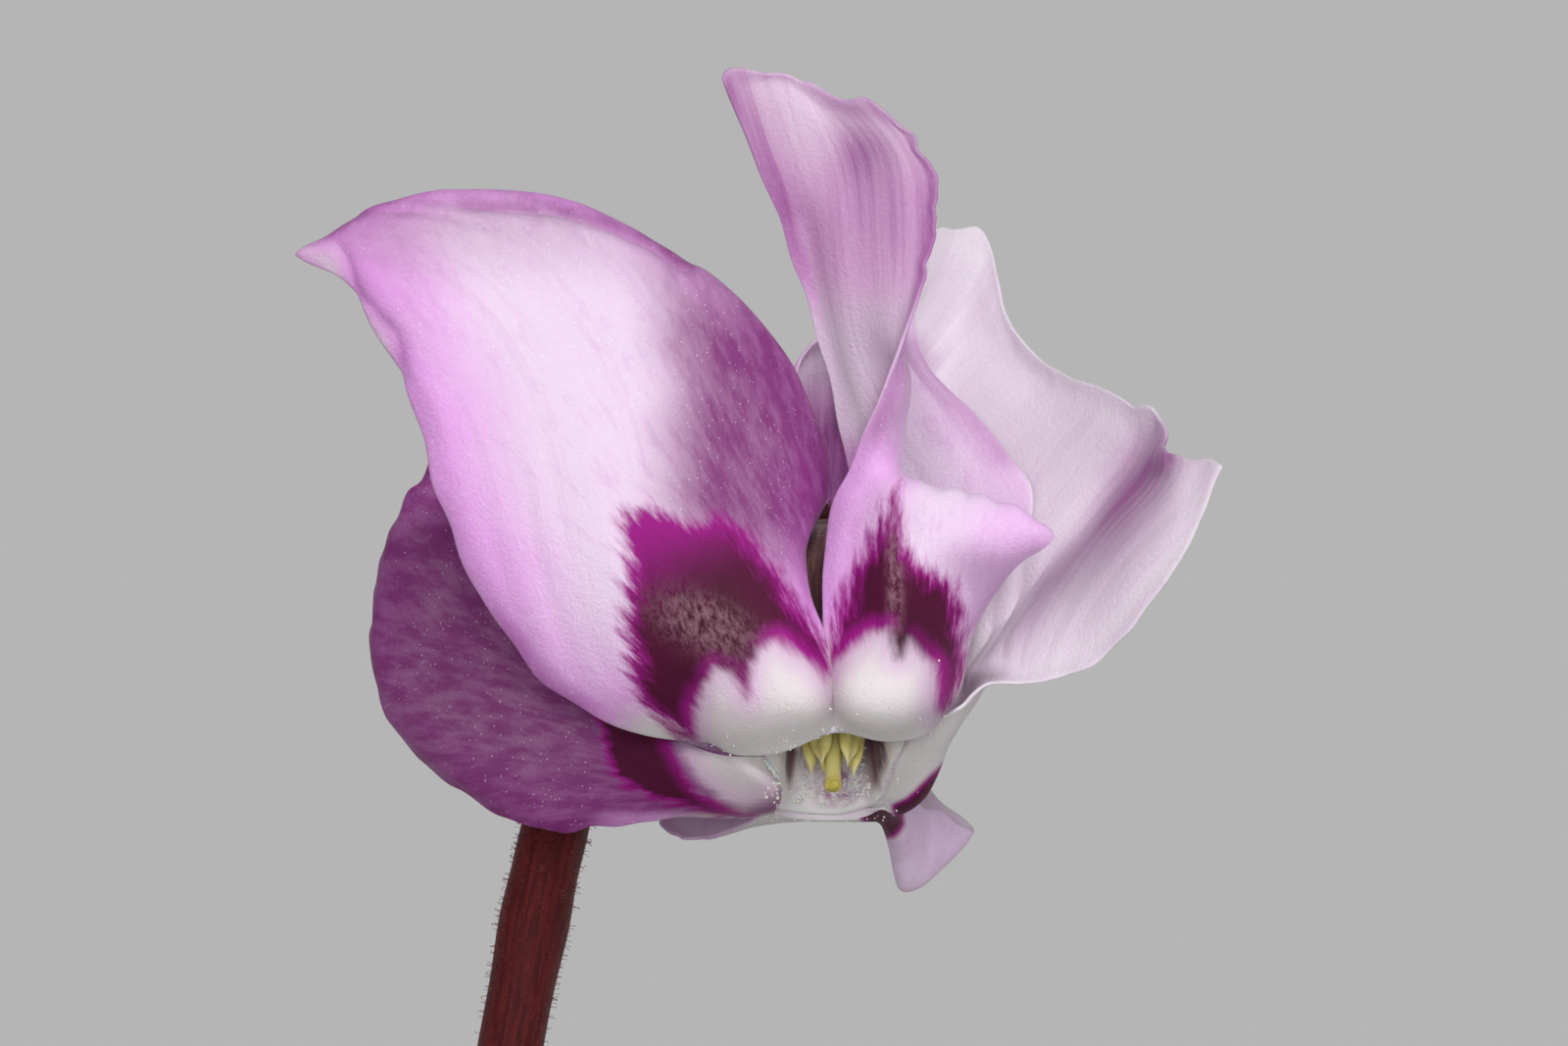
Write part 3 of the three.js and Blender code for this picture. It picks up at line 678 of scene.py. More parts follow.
# %% Net of the front left petal
FRONT_LEFT = [
    [[-2.3, -1.0, 0.3], [-1.8, -1.6, 0.1], [-1.1, -1.9, 0.1],
     [-0.5, -2.0, 0.33], [0.0, -1.75, 0.52]],
    [[-2.7, -1.0, 0.3], [-2.1, -2.2, 0.6], [-1.2, -2.8, 0.9], [-0.5, -2.8, 1.1], [0.0, -2.2, 1.2]],
    [[-3.6, -1.2, 0.4], [-2.8, -2.2, 1.2], [-1.8, -2.8, 1.7],
     [-0.8, -2.7, 2.0], [-0.15, -2.0, 2.3]],
    [[-4.9, -1.6, 0.9], [-3.7, -2.3, 2.0], [-2.4, -2.7, 2.8], [-1.3, -2.3, 3.3], [-0.5, -1.2, 3.8]],
    [[-6.3, -2.0, 2.3], [-4.8, -2.4, 3.5], [-3.2, -2.4, 4.2],
     [-1.4, -1.6, 4.8], [-0.02, -0.5, 5.0]],
    [[-7.4, -2.2, 4.5], [-5.7, -2.3, 5.4], [-3.6, -2.1, 6.1], [-1.6, -1.0, 6.5], [-0.1, 0.2, 6.1]],
    [[-8.0, -2.2, 6.7], [-6.3, -2.1, 7.5], [-4.3, -1.7, 8.0], [-2.4, -0.8, 8.4], [-1.1, 0.4, 8.1]],
    [[-8.6, -2.1, 8.0], [-7.2, -1.9, 9.0], [-5.5, -1.5, 9.5], [-3.9, -0.8, 9.8], [-2.7, 0.3, 9.5]],
    [[-9.3, -2.0, 9.0], [-8.3, -1.7, 9.9], [-7.3, -1.4, 10.2],
     [-6.2, -0.9, 10.5], [-5.2, -0.1, 10.6]],
    [[-10.3, -1.7, 9.7], [-9.7, -1.5, 10.0], [-9.1, -1.3, 10.4],
     [-8.3, -1.1, 10.7], [-7.6, -0.8, 10.8]],
]
print("front left:", len(FRONT_LEFT), "rows")

# %% Front left petal
BLOTCH_FRONT_LEFT = [
    (-4.1, 4.6), (-3.9, 3.75), (-3.9, 2.4), (-3.8, 1.7), (-3.6, 1.0), (-3.0, 0.4), (-2.3, 0.1),
    (-0.1, 0.8), (-0.1, 1.4), (-0.2, 2.1), (-0.7, 2.8), (-1.1, 3.5), (-1.8, 4.2), (-2.3, 4.5),
    (-2.8, 4.4), (-3.5, 4.6),
]
NOSE_FRONT_LEFT = [
    (-2.6, 0.9), (-2.45, 1.4), (-2.2, 1.72), (-1.9, 1.62), (-1.62, 1.15), (-1.58, 1.75),
    (-1.45, 2.05), (-1.1, 2.2), (-0.75, 1.95), (-0.4, 1.7), (-0.1, 1.35), (0.4, 1.0), (0.4, -0.5),
    (-2.6, -0.5),
]
TOP_MARGIN = [(-7.1, 10.5), (-5.4, 10.4), (-4.3, 10.1), (-3.5, 9.75), (-2.8, 9.3)]
TIP_FOLD = [(-9.47, 9.76), (-9.28, 9.5), (-9.1, 8.83), (-8.32, 8.0), (-8.22, 7.2)]
VEIN_DENTS = [
    [(-7.2, 9.9), (-6.2, 8.8)], [(-6.1, 10.1), (-5.0, 8.9)], [(-4.8, 9.9), (-4.2, 8.6)],
    [(-3.1, 9.2), (-2.5, 8.3)],
]


def painted_shade_front_left(x, z, back):
    """Painted shade along its right side, a little at its top and its tip, and a painted shadow under its
    rolled top margin.
    """
    # Painted shade: down its right side, which turns away from the light, along its top, at its tip, and a
    # painted shadow under the rolled top margin.
    waver = 0.1 * (z - 6) + 0.16 * np.sin(1.5 * z) + 0.06 * np.sin(4.1 * z + 1)
    side = rise(x + waver, -4.0, -2.15) * (1 - 0.5 * rise(z, 7.8, 9.6))
    roll = 0.3 * np.exp(-(seen_distance(TOP_MARGIN, x, z) / 0.15) ** 2)
    top = 0.36 * rise(z, 8.6, 10.2) * (1 - side)
    tip = 0.16 * rise(-x, 6.8, 8.6) * rise(z, 6.8, 8.4)
    return np.minimum(0.95 * side * rise(z, 2.2, 4.8) + top + roll + tip, 0.97)


front_left = front_petal(
    "flower_1_petal_front_left", FRONT_LEFT, 1,
    outlined(BLOTCH_FRONT_LEFT, NOSE_FRONT_LEFT, (-2.45, 2.5, 1.05, 0.5, -24), (4.1, 6.2), (2.0, -3.0)),
    deep=painted_shade_front_left, pink=0.85, ragged=0.05, curl=0.2, humps=[(-1.75, 0.95), (-0.7, 1.1)],
    grooves=[(TOP_MARGIN, 0.15, 0.2), (TIP_FOLD, 0.1, 0.08)] + [(dent, 0.1, 0.05) for dent in VEIN_DENTS])
print("front left reaches", front_left[..., 2].max().round(1), "mm up")

# %% Net of the twisted front right petal
FRONT_RIGHT = [
    [[0.0, -1.75, 0.52], [0.5, -2.0, 0.45], [1.0, -1.9, 0.36],
     [1.6, -1.5, 0.42], [1.9, -1.0, 0.6], [2.0, -0.85, 0.7]],
    [[0.0, -2.1, 1.2], [0.5, -2.8, 1.0], [1.1, -2.8, 0.9],
     [1.8, -2.2, 1.1], [2.3, -1.4, 1.2], [2.4, -1.2, 1.3]],
    [[-0.17, -2.0, 2.1], [0.6, -2.5, 2.0], [1.2, -2.7, 2.1],
     [1.9, -2.1, 2.1], [2.5, -1.1, 2.2], [2.6, -0.9, 2.2]],
    [[-0.22, -1.6, 3.1], [0.5, -2.1, 3.1], [1.2, -2.7, 3.2],
     [2.2, -2.1, 3.3], [2.9, -1.2, 3.0], [3.0, -1.0, 3.0]],
    [[-0.18, -1.3, 4.2], [0.6, -1.8, 4.1], [1.3, -2.4, 4.2],
     [2.5, -2.4, 4.2], [3.5, -2.1, 3.8], [3.6, -2.0, 3.7]],
    [[0.02, -1.4, 4.95], [0.6, -1.7, 4.9], [1.35, -2.1, 5.0],
     [2.8, -2.0, 4.85], [4.1, -2.1, 4.3], [4.2, -2.1, 4.2]],
    [[0.5, -1.6, 5.8], [0.85, -1.5, 5.8], [1.15, -1.1, 5.6],
     [1.3, -0.5, 4.9], [1.1, 0.1, 4.7], [0.8, 0.6, 4.8]],
    [[1.0, -1.8, 6.8], [1.3, -1.4, 7.0], [1.4, -0.8, 7.2],
     [1.1, -0.1, 6.8], [0.7, 0.4, 6.3], [0.35, 0.8, 6.0]],
    [[1.5, -1.5, 8.1], [1.3, -1.0, 8.1], [0.95, -0.4, 8.0],
     [0.6, 0.2, 7.8], [0.2, 0.6, 7.4], [0.0, 0.8, 7.2]],
    [[1.9, -1.2, 9.6], [1.4, -0.8, 9.6], [0.75, -0.3, 9.5],
     [0.1, 0.2, 9.2], [-0.35, 0.5, 8.85], [-0.5, 0.6, 8.7]],
    [[2.0, -0.9, 10.9], [1.3, -0.6, 11.3], [0.5, -0.2, 11.3],
     [-0.4, 0.1, 11.0], [-1.05, 0.3, 10.7], [-1.15, 0.4, 10.6]],
    [[1.4, -0.6, 12.05], [0.7, -0.4, 12.4], [-0.1, -0.1, 12.5],
     [-1.1, 0.0, 13.25], [-2.0, 0.1, 13.0], [-2.1, 0.1, 12.85]],
]
print("front right:", len(FRONT_RIGHT), "rows")

# %% Colour of the twisted petal
BLOTCH_FRONT_RIGHT = [
    (-0.15, 1.2), (0.0, 2.4), (0.4, 3.4), (0.95, 4.3), (1.2, 5.0), (1.3, 4.2), (1.6, 3.6),
    (2.2, 3.3), (2.35, 2.8), (2.5, 2.2), (2.4, 1.5), (2.1, 0.8), (1.0, 0.4),
]
NOSE_FRONT_RIGHT = [
    (-0.4, 1.6), (0.0, 1.7), (0.4, 2.05), (0.8, 2.38), (1.1, 2.42), (1.24, 1.85), (1.38, 2.25),
    (1.55, 2.1), (1.9, 1.7), (1.9, 1.0), (2.1, 0.6), (2.1, -0.5), (-0.4, -0.5),
]
TALL_MARGIN = [(2.0, 10.2), (1.75, 8.7), (1.4, 7.6), (1.05, 6.7), (0.6, 5.7)]
TALL_BAND = [(-1.95, 12.7), (-1.4, 11.9), (-0.95, 11.1), (-0.75, 10.5)]


def painted_shade_front_right(x, z, back):
    """Painted shade halfway up its tall end and a deeper band along its right margin, with painted light
    under the top.
    """
    up = z - 11.0
    # Painted light: the painted shade is left off in a fan under the top, on its left.
    light = np.exp(-((x + 0.35 + 0.22 * up) / (0.4 + 0.22 * up.clip(0))) ** 2) * rise(z, 9.8, 11.4)
    middle = 0.42 * rise(z, 8.4, 10.4) * (1 - 0.9 * light)
    band = 0.34 * np.exp(-(seen_distance(TALL_BAND, x, z) / 0.35) ** 2)
    patch = 0.4 * np.exp(-(np.hypot(x - 0.55, z - 11.5) / 0.6) ** 2)
    middle = middle + (band + patch) * (1 - light)
    margin = 0.45 * np.exp(-(seen_distance(TALL_MARGIN, x, z) / 0.22) ** 2) * rise(z, 5.4, 6.4)
    return np.maximum(middle, margin)


def pink_front_right(x, z):
    """Pink, paler on its flap, where it turns over and under its top."""
    foot = 0.42 * rise(z, 5.6, 6.4) * rise(z, 9.6, 7.8)
    top = 0.14 * rise(z, 8.0, 9.5) - 0.45 * rise(z, 10.4, 12.2)
    return 0.72 - 0.3 * rise(x, 1.6, 2.8) - foot + top


print("the twisted petal's blotch has", len(BLOTCH_FRONT_RIGHT), "corners")

# %% Front right petal
FLAP_CREST = [0.9, 1.35, 2.8, 4.2], [5.0, 5.0, 4.85, 4.25]


def crimped(grid):
    """Small scallops along the twisted petal's flap and up the right margin of its tall end."""
    x, z = seen_from_front(grid)
    crest = np.interp(x, *FLAP_CREST)
    near = np.exp(-((z - crest) / 0.3) ** 2) * rise(x, 1.2, 1.6) * (grid[..., 1] < -1.2)
    beat = np.sin(x * 9.2 + 1.4 * np.sin(x * 2.3))
    flap = (near * 0.055 * beat)[..., None] * np.array([0, 0.4, 1.0])
    rim = np.exp(-np.arange(grid.shape[1]) / 4.0) * rise(z, 8.4, 9.6)
    teeth = np.abs(np.sin(3.6 * z + 0.9 * np.sin(2.1 * z))) + 0.4 * np.abs(np.sin(8.3 * z + 1)) - 0.9
    return grid + flap + (rim * 0.13 * teeth)[..., None] * np.array([1.0, 0, 0.2])


front_right = front_petal(
    "flower_1_petal_front_right", FRONT_RIGHT, 2,
    outlined(BLOTCH_FRONT_RIGHT, NOSE_FRONT_RIGHT, (1.2, 3.5, 0.13, 1.3, 0), (3.3, 5.2), (1.0, -7.0)),
    deep=painted_shade_front_right, pink=pink_front_right, ragged=0.03, tip_ragged=0.24, curl=0.1, teeth=0.8,
    humps=[(0.5, 1.25), (1.4, 1.2)], crimp=crimped)
print("front right reaches", front_right[..., 2].max().round(1), "mm up")

# %% Net of the right petal
RIGHT = [
    [[1.75, -0.8, 0.6], [1.35, -0.35, 0.15], [1.2, 0.0, -0.15], [1.12, 0.4, -0.42], [0.98, 0.95, -0.76],
     [0.8, 1.4, -0.93], [0.75, 1.7, -1.0], [0.72, 1.8, -1.0], [0.7, 1.9, -1.0]],
    [[2.45, -0.9, 0.95], [2.2, -0.4, 0.5], [2.0, 0.0, 0.1], [1.87, 0.4, -0.3], [1.6, 1.0, -0.82],
     [1.25, 1.6, -1.08], [0.95, 2.0, -1.12], [0.87, 2.15, -1.12], [0.8, 2.3, -1.12]],
    [[2.7, -0.6, 1.15], [2.45, 0.4, 0.75], [2.2, 1.0, 0.4], [1.97, 1.6, 0.0], [1.7, 2.4, -0.38],
     [1.4, 3.0, -0.5], [1.2, 3.4, -0.4], [1.15, 3.5, -0.3], [1.1, 3.6, -0.2]],
    [[3.2, -0.3, 1.32], [2.95, 0.9, 1.45], [2.75, 2.0, 1.45], [2.55, 2.7, 1.5], [2.15, 3.4, 1.3],
     [1.7, 3.9, 1.4], [1.4, 4.0, 1.5], [1.45, 3.8, 1.6], [1.6, 3.6, 1.7]],
    [[3.9, -0.3, 1.4], [3.7, 0.9, 2.1], [3.4, 2.7, 2.4], [3.1, 2.9, 2.9], [2.5, 4.0, 3.2],
     [1.7, 4.6, 3.4], [1.2, 4.3, 3.5], [1.5, 3.65, 3.45], [2.6, 3.0, 3.2]],
    [[5.0, -0.6, 1.7], [4.7, 0.7, 2.8], [4.3, 2.8, 3.4], [4.0, 2.9, 4.1], [3.1, 4.2, 5.1],
     [1.9, 5.1, 5.5], [1.1, 4.45, 5.5], [1.9, 3.8, 5.4], [3.9, 2.6, 4.7]],
    [[6.0, -0.9, 2.8], [5.7, 0.3, 4.0], [5.35, 2.5, 4.6], [5.0, 2.7, 5.3], [3.6, 4.5, 6.6],
     [2.2, 5.7, 7.2], [1.1, 4.9, 7.0], [1.75, 4.4, 6.9], [3.1, 3.6, 6.2]],
    [[6.8, -1.0, 4.0], [6.5, 0.0, 5.0], [6.1, 2.0, 5.6], [5.5, 2.5, 6.2], [3.8, 4.8, 7.3],
     [2.6, 6.3, 8.5], [1.25, 5.5, 8.3], [1.45, 5.25, 8.1], [1.8, 5.0, 7.7]],
    [[7.5, -0.8, 5.6], [6.6, 0.3, 5.75], [6.3, 1.5, 6.45], [5.5, 2.6, 6.85], [3.7, 5.0, 7.9],
     [3.0, 6.6, 10.0], [2.2, 6.4, 10.2], [1.85, 6.15, 10.1], [1.5, 6.0, 10.0]],
]
print("right:", len(RIGHT), "rows, the last columns fold over")

# %% Right petal
BLOTCH_RIGHT = [
    (1.15, -0.86), (1.41, -0.74), (1.58, -0.58), (1.7, -0.44), (1.82, -0.3), (2.0, -0.12),
    (2.3, 0.1), (2.3, -1.4), (1.2, -1.4),
]
VALLEY = [(2.9, 1.46), (3.5, 2.1), (4.15, 3.15), (5.05, 4.1), (5.8, 5.0), (6.5, 5.75)]
FLAP_MARGIN = [(1.5, 7.75), (2.7, 6.35), (3.3, 5.65)]


def painted_shade_right(x, z, back):
    """Painted shade down in the crease of its fold, and a deeper band along its folded-over margin."""
    # Painted shade in the crease, wider and stronger further out.
    fold = seen_distance(VALLEY, x, z)
    wide = 0.35 + 0.3 * rise(x, 4.0, 6.0)
    strong = 0.4 + 0.5 * rise(x, 4.6, 5.8) * rise(x, 6.8, 6.2)
    folded = 0.2 * np.exp(-(fold / 0.16) ** 2) + strong * np.exp(-(fold / wide) ** 2)
    on_flap = rise(0.93 * z - 1.3 - back, -0.2, 0.2)
    margin = np.exp(-(seen_distance(FLAP_MARGIN, x, z) / 0.25) ** 2) * on_flap
    return folded * rise(x, 2.9, 4.2) + 0.4 * margin


right = front_petal(
    "flower_1_petal_right", RIGHT, 3, outlined(BLOTCH_RIGHT, NO_NOSE), deep=painted_shade_right, pink=0.05,
    ragged=0.06, curl=0.0, calm=1, grooves=[(VALLEY, 0.3, 0.16)])
print("right reaches", right[..., 0].max().round(1), "mm out")

# %% Left petal
LEFT = [
    [[-1.1, 0.9, -1.1], [-1.1, 0.5, -0.9], [-1.1, 0.1, -0.6],
     [-1.2, -0.3, -0.3], [-1.3, -0.7, 0.0]],
    [[-1.6, 0.9, -1.2], [-1.2, 0.0, -0.9], [-1.2, -0.5, -0.6],
     [-1.5, -0.8, -0.3], [-1.9, -0.8, 0.0]],
    [[-2.2, 1.0, -1.2], [-2.0, 0.2, -0.9], [-2.2, -0.1, -0.5],
     [-2.4, -0.2, -0.1], [-2.7, 0.2, 0.2]],
    [[-3.0, 1.1, -1.2], [-3.0, 0.6, -0.7], [-3.3, 0.5, -0.2], [-3.5, 0.7, 0.3], [-3.7, 1.3, 0.9]],
    [[-4.0, 1.4, -1.4], [-4.3, 1.2, -0.6], [-4.7, 1.3, 0.3], [-4.9, 1.8, 1.3], [-4.7, 2.6, 2.2]],
    [[-5.5, 1.8, -1.5], [-6.0, 1.7, -0.4], [-6.4, 1.9, 0.9], [-6.4, 2.6, 2.2], [-5.8, 3.6, 3.6]],
    [[-6.9, 2.4, -0.9], [-7.5, 2.3, 0.2], [-7.8, 2.7, 1.4], [-7.7, 3.3, 2.8], [-7.0, 4.3, 4.3]],
    [[-8.0, 3.1, -0.2], [-8.4, 3.1, 0.8], [-8.7, 3.4, 2.0], [-8.45, 4.1, 3.75], [-7.4, 4.9, 5.2]],
    [[-8.7, 3.7, 0.6], [-8.9, 3.7, 1.3], [-9.0, 3.9, 2.3], [-8.7, 4.6, 4.2], [-7.7, 5.3, 5.8]],
]
BLOTCH_LEFT = [
    (-4.4, 1.3), (-4.4, 0.6), (-4.3, 0.0), (-4.05, -0.5), (-3.2, -0.85), (-2.2, -1.13),
    (-1.45, -1.1), (-2.0, -0.88), (-2.4, -0.7), (-2.75, -0.38), (-3.0, 0.0), (-3.05, 1.3),
]
NOSE_LEFT = [
    (-3.05, 1.2), (-3.0, 0.2), (-2.6, -0.42), (-2.15, -0.78), (-1.7, -1.0), (-1.3, -0.85),
    (-0.7, -0.5), (-0.7, 1.2),
]


def painted_shade_left(x, z, back):
    """Painted shade all over, for the shadow of its neighbour, less in a band along its lower margin."""
    # Painted shade: this petal lies in the shadow of the front left one.
    return 0.95 - 0.6 * rise(-z, 0.95, 1.2) * rise(x, -4.9, -3.9)


left = front_petal(
    "flower_1_petal_left", LEFT, 4, outlined(BLOTCH_LEFT, NOSE_LEFT, root=(0.5, -0.8)), deep=painted_shade_left,
    pink=0.6, ragged=0.09, calm=0.4)
print("left reaches", left[..., 0].min().round(1), "mm out")

# %% Back petal
# Its rows run from right to left, because its back faces down and toward the camera.
BACK = [
    [[-1.2, 1.0, -1.05], [-0.7, 1.8, -1.15], [0.0, 2.1, -1.2],
     [0.6, 1.8, -1.15], [0.9, 1.3, -1.05], [1.0, 1.2, -1.05]],
    [[-1.5, 1.2, -1.25], [-0.7, 2.4, -1.22], [0.0, 2.8, -1.22],
     [0.7, 2.4, -1.22], [1.0, 1.9, -1.2], [1.2, 1.6, -1.15]],
    [[-2.0, 2.2, -1.5], [-0.9, 3.4, -1.15], [0.0, 3.9, -1.1],
     [0.8, 3.4, -1.1], [1.2, 2.9, -1.5], [1.5, 3.2, -1.0]],
    [[-2.5, 3.4, -1.7], [-1.2, 4.6, -1.1], [0.1, 5.2, -0.9],
     [1.0, 4.6, -1.1], [1.3, 3.9, -2.0], [2.1, 4.4, -1.2]],
    [[-3.0, 4.6, -1.7], [-1.5, 6.0, -0.7], [0.2, 6.6, -0.2],
     [1.2, 5.9, -0.8], [1.4, 4.9, -2.7], [2.8, 5.4, -1.6]],
    [[-3.3, 5.8, -1.4], [-1.7, 7.3, 0.2], [0.2, 7.9, 0.9],
     [1.45, 7.0, 0.2], [1.5, 6.2, -1.2], [1.9, 6.4, -0.8]],
    [[-3.0, 6.8, 0.1], [-1.6, 8.2, 1.9], [0.1, 8.9, 2.9],
     [1.4, 8.4, 2.2], [1.65, 7.8, 0.9], [1.8, 7.6, 0.6]],
    [[-2.2, 7.6, 2.6], [-1.1, 8.8, 4.2], [0.0, 9.4, 5.1],
     [1.0, 9.2, 4.5], [1.6, 8.8, 3.3], [1.8, 8.6, 3.0]],
    [[-1.25, 7.8, 5.6], [-0.6, 8.8, 6.6], [-0.1, 9.2, 6.9],
     [0.5, 9.2, 6.4], [1.0, 9.0, 5.7], [1.1, 8.9, 5.5]],
    [[-0.8, 7.8, 7.4], [-0.6, 8.1, 7.85], [-0.25, 8.4, 8.05],
     [0.1, 8.6, 8.0], [0.3, 8.7, 7.5], [0.4, 8.7, 7.3]],
]
BLOTCH_BACK = [
    (0.4, -0.9), (0.55, -1.15), (0.8, -1.3), (1.1, -1.6), (1.3, -1.3), (1.3, -0.6), (0.7, -0.6),
]


def painted_shade_back(x, z, back):
    """Painted shade where it stands up in shadow behind the stalk, fading out at its round tip."""
    # Painted shade where the rear petal stands in shadow.
    return 0.95 * rise(z, 1.0, 3.0) * rise(z, 7.2, 6.0)


def pink_and_painted_light_back(x, z):
    """Pale where it hangs down, above all at the right, and pink where it stands; its round tip and lower
    left are painted paler, as painted light on parts in shade.
    """
    # Painted light: the shaded round tip and the lower left get less pink, so they read paler.
    tip = 1 - 0.6 * rise(z, 6.6, 7.4)
    return np.maximum(rise(z, 0.5, 2.5) * tip, 0.4 * rise(-x, 0.4, 1.5))


back = front_petal(
    "flower_1_petal_back", [row[::-1] for row in BACK], 5, outlined(BLOTCH_BACK, NO_NOSE), deep=painted_shade_back,
    pink=pink_and_painted_light_back, ragged=0.07, calm=1)
front_grids = [front_left, front_right, right, left, back]
print(len(front_grids), "front petals")

# %% [markdown]
# ## Throat, calyx, anthers and style
# Below the petals' feet the corolla is a short tube. Its lip has to meet five different
# petals, so the tube is lofted: the lip's ring is read from the petals' own feet, and the
# wall runs from there up to the calyx. Dark streaks run up inside it. Glistening beads of
# sap stand on the lip.

# %% Frames of the flower's core
FRONT_NOD = 28
FRONT_MOUTH = np.array([0.0, 0.0, -0.375])


def turn_about(points, axis, angle):
    """Turns points about the x, y or z axis by degrees."""
    cos, sin = math.cos(math.radians(angle)), math.sin(math.radians(angle))
    x, y, z = np.moveaxis(np.asarray(points, float), -1, 0)
    if axis == "x":
        return np.stack([x, y * cos - z * sin, y * sin + z * cos], -1)
    if axis == "y":
        return np.stack([x * cos + z * sin, y, z * cos - x * sin], -1)
    return np.stack([x * cos - y * sin, x * sin + y * cos, z], -1)


def in_front_core(points):
    """From the core's own frame, mouth at the origin and calyx on +z, to the world."""
    return turn_about(points, "x", -FRONT_NOD) + FRONT_MOUTH + FLOWER


def to_front_core(places):
    """From the front flower's frame to its core's frame."""
    return turn_about(places - FRONT_MOUTH, "x", FRONT_NOD)


print("the front flower nods", FRONT_NOD, "degrees")

# %% Throat finish
def near(value, centre, reach, full):
    """A mask that is 1 up to a full share of the reach round a centre and fades out beyond."""
    return 1 - ((value - centre) * (1 / reach)).size().step(full, 1.0)


def throat_finish():
    """Pale inside wall with dark streaks that run up the tube."""
    made = Finish("throat", Roughness=0.4, Subsurface_Weight=0.2, Subsurface_Scale=0.0004)
    turn, up = made.trait("turn"), made.trait("up")
    where = made.place()
    streak = made.cloud(made.vector(turn * 0.05, up * 0.25, 1.0), 1.5, 3, 0.6)
    fine = made.cloud(where, 7, 3)
    stain = (streak + up * 0.05 + (fine - 0.5) * 0.3).step(0.48, 0.66)
    pale = up.step(1.5, 3.4).mix(paint(242, 236, 238), paint(158, 112, 128))
    colour = (stain * up.step(0.7, 1.5)).mix(pale, paint(88, 26, 62))
    sides = near(turn, 146, 24, 0.4) + near(turn, 30, 42, 0.4)
    patch = sides * up.step(0.15, 0.5) * (streak + fine * 0.5).step(0.4, 0.7)
    colour = (patch * 0.9).mix(colour, paint(92, 14, 54))
    spot = near(turn, 84, 26, 0.3) * near(up, 0.75, 0.5, 0.3)
    colour = (spot * (fine + streak).step(0.7, 1.2) * 0.75).mix(colour, paint(150, 66, 140))
    made.wear("Base Color", colour)
    made.relief(fine, 0.02)
    return made


throat_coat = throat_finish()
print("the throat uses", len(throat_coat.tree.nodes), "nodes")

# %% Tube finish
def tube_finish():
    """The tube's outside, whitish below the calyx and pink toward the petals."""
    made = Finish("corolla_tube", Roughness=0.45, Subsurface_Weight=0.2, Subsurface_Scale=0.0004)
    up, fine = made.trait("up"), made.cloud(made.place(), 5, 3)
    line = made.cloud(made.vector(made.trait("turn") * 0.06, up * 0.1, 4.0), 4, 3)
    colour = up.step(0.8, 3.5).mix(paint(234, 224, 230), paint(206, 176, 190))
    colour = (line.step(0.5, 0.7) * 0.5).mix(colour, paint(160, 88, 140))
    made.wear("Base Color", colour)
    made.relief(fine + line, 0.03)
    return made


tube_coat = tube_finish()
print("the tube uses", len(tube_coat.tree.nodes), "nodes")

# %% Front corolla tube
TUBE_LENGTH = 4.0
TUBE_INSIDE = 0.98
TUBE_THICKNESS = 0.3
TUBE_ROWS, TUBE_COLUMNS = 26, 120
LIP_BLEND = 0.14


def lip_ring(feet, columns):
    """A smooth ring through petal feet, as radius and height by angle about the core."""
    angle = np.arctan2(feet[:, 1], feet[:, 0])
    radius = np.hypot(feet[:, 0], feet[:, 1])
    around = np.arange(columns) * math.tau / columns
    away = np.angle(np.exp(1j * (around[:, None] - angle)))
    weight = np.exp(-(away / LIP_BLEND) ** 2)
    weight /= weight.sum(1, keepdims=True)
    return around, weight @ radius, weight @ feet[:, 2]


feet = to_front_core(np.concatenate([grid[0] for grid in front_grids]))
around, lip_radius, lip_height = lip_ring(feet, TUBE_COLUMNS)
share = np.linspace(0, 1, TUBE_ROWS)[:, None]
height = lip_height * (1 - share) + TUBE_LENGTH * share
ribs = 0.03 * np.cos(10 * around) * rise(share, 0.1, 0.4)
radius = TUBE_INSIDE + (lip_radius - TUBE_INSIDE) * (1 - share) ** 2.2 + ribs
tube = np.stack([radius * np.cos(around), radius * np.sin(around), height], -1)[:, ::-1]
turn = np.degrees(around)[::-1]
tube_traits = dict(edge=share * TUBE_LENGTH, turn=turn, up=height[:, ::-1])
tube_form = Form()
add_sheet(tube_form, in_front_core(tube), TUBE_THICKNESS, tube_traits, closed=True, thin=0.6)
tube_piece = tube_form.build("flower_1_corolla_tube", [throat_coat, tube_coat])
soften(tube_piece)
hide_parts("flower_1_corolla_tube")
print("lip radius", lip_radius.min().round(2), "to", lip_radius.max().round(2), "mm")

# %% Small balls and closed ends
BALL_RINGS = 4


def capped_faces(rows, sides):
    """Faces of rings of points, closed at both ends by a middle point that follows them."""
    faces = grid_faces(rows, sides, closed=True)
    first, last = rows * sides, rows * sides + 1
    top = (rows - 1) * sides
    faces += [(first, (j + 1) % sides, j) for j in range(sides)]
    faces += [(last, top + j, top + (j + 1) % sides) for j in range(sides)]
    return faces


def ball(sides):
    """Points of a coarse unit ball: four rings and two poles."""
    tilt = np.linspace(math.pi, 0, BALL_RINGS + 2)[1:-1]
    turn = np.arange(sides) * math.tau / sides
    rings = np.stack([np.outer(np.sin(tilt), np.cos(turn)), np.outer(np.sin(tilt), np.sin(turn)),
                      np.outer(np.cos(tilt), np.ones(sides))], -1)
    return np.concatenate([rings.reshape(-1, 3), [[0, 0, -1], [0, 0, 1]]])


print("a ball with 8 sides has", len(ball(8)), "points")

# %% Where beads of sap sit
BEAD_COUNT = 460
BEAD_KINDS = {"lip": 0.42, "nose end": 0.26, "scattered": 0.32}
BEAD_PETALS = [0.22, 0.16, 0.2, 0.22, 0.2]
LIP_CLUSTERS = [(84, 10), (70, 6), (112, 8)]
NOSE_END = (-1.15, -0.3)
dice = np.random.default_rng(11)
lip_grid = in_front_core(tube) - FLOWER


